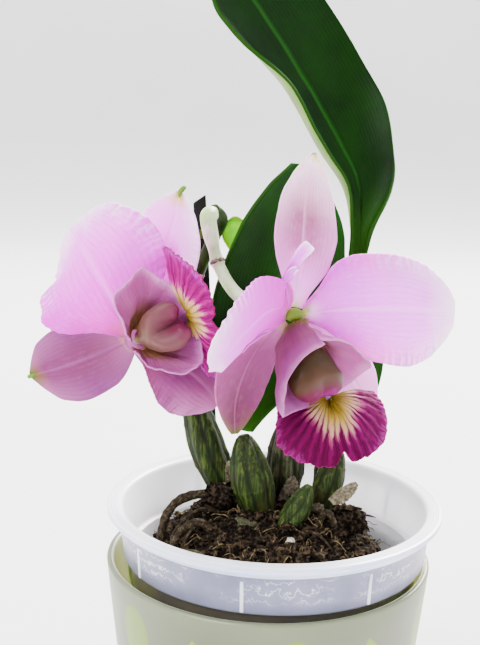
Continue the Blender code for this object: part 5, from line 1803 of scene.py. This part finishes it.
# painted shade: the olive-brown and dull rose-brown stand for the shade inside the lip; the magenta at the
# tip is the column's own colour
oliveShadeRun = [(0.0, "#807830"), (0.3, "#48301C"), (0.6, "#382818")]
oliveShadeRun += [(0.84, "#442A1C"), (0.95, "#581034"), (1.0, "#741860")]
rosyShadeRun = [(0.0, "#807830"), (0.3, "#5C4030"), (0.6, "#5C3C34"), (0.9, "#60363E"), (1.0, "#5C1C38")]
shadedOliveColumn = columnWax("olive_column_painted_shade", oliveShadeRun)
shadedRosyColumn = columnWax("rosy_column_painted_shade", rosyShadeRun)
rightParts = ("right", rightLip, rightBloom, rightMidlobe, shadedOliveColumn)
leftParts = ("left", leftLip, leftBloom, leftMidlobe, shadedRosyColumn)
for side, lip, spot, midlobe, wax in (rightParts, leftParts):
    turn, lobes, fan = bloomTurn(spot), [lobeOutside, lobeInside], [midlobeBack, midlobe]
    thinSheet(
        side + "_lip_lobes", tubePlace(lip), 130, 40, 0.6, lobes, [side + "_lip"], "lip_magenta", turn
    )
    thinSheet(side + "_lip_fan", fanPlace(lip), 220, 44, 0.6, fan, [], "lip_magenta", turn)
    roundBody(
        side + "_column_body", columnPlace(lip), 56, 40, [wax], [side + "_column"], turn
    )


def neckPlace(width, height):
    # the short green neck where sepals, petals, lip and column meet
    def place(turn, v):
        r, angle = math.sin(math.pi * (0.04 + 0.92 * v)) ** 0.6, math.tau * turn
        return Vector((r * width * math.cos(angle), 4.5 - 6.0 * v, 0.6 + r * height * math.sin(angle)))

    return place


neckSkin = stemSkin("pale_green_flower_neck", ("#688418", "#94A440"), "#507010", glow=0.5, shine=0.2)
roundBody(
    "right_flower_neck", neckPlace(3.6, 2.4), 28, 20, [neckSkin], [], bloomTurn(rightBloom)
)
roundBody(
    "left_flower_neck", neckPlace(3.8, 4.2), 28, 20, [lobeInside], [], bloomTurn(leftBloom)
)


def rolledStrip(points, widths, roll):
    # a narrow strip of margin rolled lengthwise into a half tube
    def place(u, v):
        here, side, other = crossFrame(lambda t: curvePoint(points, t), v, Vector((0, -1, 0)))
        angle = (u - 0.5) * roll
        r = stationValue(widths, v) * (1 + 0.06 * math.sin(9 * v + 5 * u))
        return here + side * math.sin(angle) * r + other * (1 - math.cos(angle)) * r

    return place


# the near margin of the right bloom's left petal is rolled up into a pale finger before the dorsal sepal
curledMargin = [
    (
        [(-0.6, -37.0, 213.3), (2.1, -38.0, 218.8), (4.5, -38.5, 223.2), (7.6, -39.0, 226.9)],
        [(0, 0.9), (0.4, 1.5), (0.85, 1.9), (1, 1.7)], 3.4,
    ),
    (
        [(0.3, -38.0, 214.2), (1.8, -39.0, 217.6), (3.7, -39.5, 219.1)], [(0, 0.8), (0.5, 1.3), (1, 0.7)],
        3.0,
    ),
]
# and two folds of the same petal turn their underside to the viewer, painted a deeper magenta as shade in
# the fold
foldedMargin = [
    (
        [(0.6, -38.6, 214.0), (1.6, -38.3, 211.4), (2.1, -37.2, 208.2), (1.5, -35.5, 205.0)],
        [(0, 0.5), (0.4, 1.1), (1, 0.4)], 2.6,
    ),
    (
        [(-13.6, -49.5, 193.0), (-11.2, -46.5, 195.9), (-8.4, -43.3, 197.4), (-4.9, -41.0, 198.2)],
        [(0, 0.3), (0.5, 1.0), (1, 0.5)], 2.6,
    ),
]
marginRolls = (
    ("curled_margin_%d", curledMargin, (20, 36), "right_petal_right"),
    ("folded_margin_%d", foldedMargin, (16, 30), "fold"),
)
for name, strips, grid, tissue in marginRolls:
    for number, strip in enumerate(strips):
        thinSheet(name % number, rolledStrip(*strip), *grid, 0.5, [tissues[tissue]], [], "petal_pink")


def sepalClaw(name, spec, bend):
    # the green claw at a sepal's tip
    turn, blade = bloomTurn(leftBloom), bladePlace(spec)
    tip, before, bend = turn @ blade(0.5, 1.0), turn @ blade(0.5, 0.94), Vector(bend)
    ahead = (tip - before).normalized()
    points = [
        tip - ahead * 2.4, tip - ahead * 0.6, tip + ahead * 0.6 + bend * 0.4, tip + ahead * 0.84 + bend
    ]
    place = stemPlace(points, [(0, 0.4), (0.4, 0.95), (0.75, 0.8), (1, 0.4)])
    roundBody(name, place, 16, 24, [clawSkin], [])


clawSkin = stemSkin("green_sepal_claw", ("#44680C", "#6C8C20"), "#3C5C08", glow=0.5, shine=0.2)
sepalClaw("upper_sepal_claw", leftTepals["left_sepal_upper"], (1.6, 0.0, 0.6))
sepalClaw("lower_sepal_claw", leftTepals["left_dorsal_sepal"], (-0.4, 0.0, -0.8))
print("blooms: lips, columns, necks, rolled margins and claws")

# Floor, soft light and the camera at the photograph's angle

sweep = dict(near=-3.0, flat=1.7, bend=0.7, top=1.1, halfWidth=4.0)


def sweepPoint(spec, s):
    # height and depth along the paper: level, then a quarter turn, then upright
    if s < spec["flat"]:
        return s, 0.0
    turn = (s - spec["flat"]) / spec["bend"]
    if turn < math.pi / 2:
        return spec["flat"] + spec["bend"] * math.sin(turn), spec["bend"] * (1 - math.cos(turn))
    return spec["flat"] + spec["bend"], spec["bend"] * (1 + turn - math.pi / 2)


bm = bmesh.new()
bmesh.ops.create_grid(bm, x_segments=1, y_segments=60, size=0.5)
length = sweep["flat"] + sweep["bend"] * math.pi / 2 + sweep["top"] - sweep["bend"] - sweep["near"]
for vert in bm.verts:
    depth, height = sweepPoint(sweep, sweep["near"] + (vert.co.y + 0.5) * length)
    vert.co = (vert.co.x * 2 * sweep["halfWidth"], depth, height)
mesh = bpy.data.meshes.new("studio_sweep")
bm.to_mesh(mesh)
bm.free()
mesh.shade_smooth()
# seamless paper: matt, nearly white
paper, add = newMaterial("matt_white_paper")
cloud = add("TexNoise", {"Vector": add("TexCoord").outputs["Object"], "Scale": 3.0, "Detail": 2.0})
tone = add("ValToRGB", {"Fac": cloud}, stops=[(0.3, "#E4E4E6"), (0.7, "#E9E9EA")])
fillSockets(
    paper.node_tree, paper.node_tree.nodes["Principled BSDF"], {"Base Color": tone, "Roughness": 0.9}
)
mesh.materials.append(paper)
floor = bpy.data.objects.new("studio_sweep", mesh)
floor.location.z = -0.0004
bpy.context.scene.collection.objects.link(floor)

world = bpy.data.worlds.new("pale_studio")
bpy.context.scene.world = world
world.use_nodes = True
tree = world.node_tree
add = partial(addNode, tree)
# brighter behind the plant and overhead, dimmer behind the camera
axes = add("SeparateXYZ", {"Vector": add("TexCoord").outputs["Generated"]}).outputs
depth = add(
    "MapRange", {"Value": axes["Y"], "From Min": -0.6, "From Max": 0.7, "To Min": 0.35, "To Max": 1.5}
)
height = add("MapRange", {"Value": axes["Z"], "From Max": 0.8, "To Min": 1.3, "To Max": 3.2})
glow = add("Math", {0: depth, 1: height}, operation="MULTIPLY")
fillSockets(tree, tree.nodes["Background"], {"Color": "#F2F3F8", "Strength": glow})


def softLight(name, place, aim, size, power, tint):
    data = bpy.data.lights.new(name, "AREA")
    data.shape = "DISK"
    data.size = size
    data.energy = power
    data.color = linear(tint)[:3]
    lamp = bpy.data.objects.new(name, data)
    lamp.location = place
    lamp.rotation_euler = (Vector(aim) - Vector(place)).to_track_quat("-Z", "Y").to_euler()
    bpy.context.scene.collection.objects.link(lamp)


softLight("window_behind", (1.8, 3.8, 3.4), (0.0, 0.0, 0.2), 2.4, 1500.0, "#FFF8F0")
softLight("key_front_left", (-2.8, -3.0, 3.0), (0.0, 0.0, 0.18), 2.0, 420.0, "#FFFFFF")
softLight("fill_front_right", (3.2, -2.8, 1.4), (0.0, 0.0, 0.15), 3.2, 110.0, "#F4F6FF")


def photoCamera(place, pitch, roll, lens):
    p, r = math.radians(pitch), math.radians(roll)
    ahead = Vector((0, math.cos(p), -math.sin(p)))
    level = Vector((1, 0, 0))
    above = level.cross(ahead)
    right = level * math.cos(r) + above * math.sin(r)
    up = above * math.cos(r) - level * math.sin(r)
    data = bpy.data.cameras.new("photo_camera")
    data.sensor_fit = "VERTICAL"
    data.sensor_height = 36.0
    data.lens = lens
    data.clip_start = 0.01
    camera = bpy.data.objects.new("photo_camera", data)
    camera.matrix_world = Matrix.Translation(place) @ Matrix((right, up, -ahead)).transposed().to_4x4()
    bpy.context.scene.collection.objects.link(camera)
    bpy.context.scene.camera = camera


photoCamera((-0.0124, -0.378, 0.268), 11.25, 1.27, 58.88)
print("studio: floor, lights and camera")

bpy.context.view_layer.update()
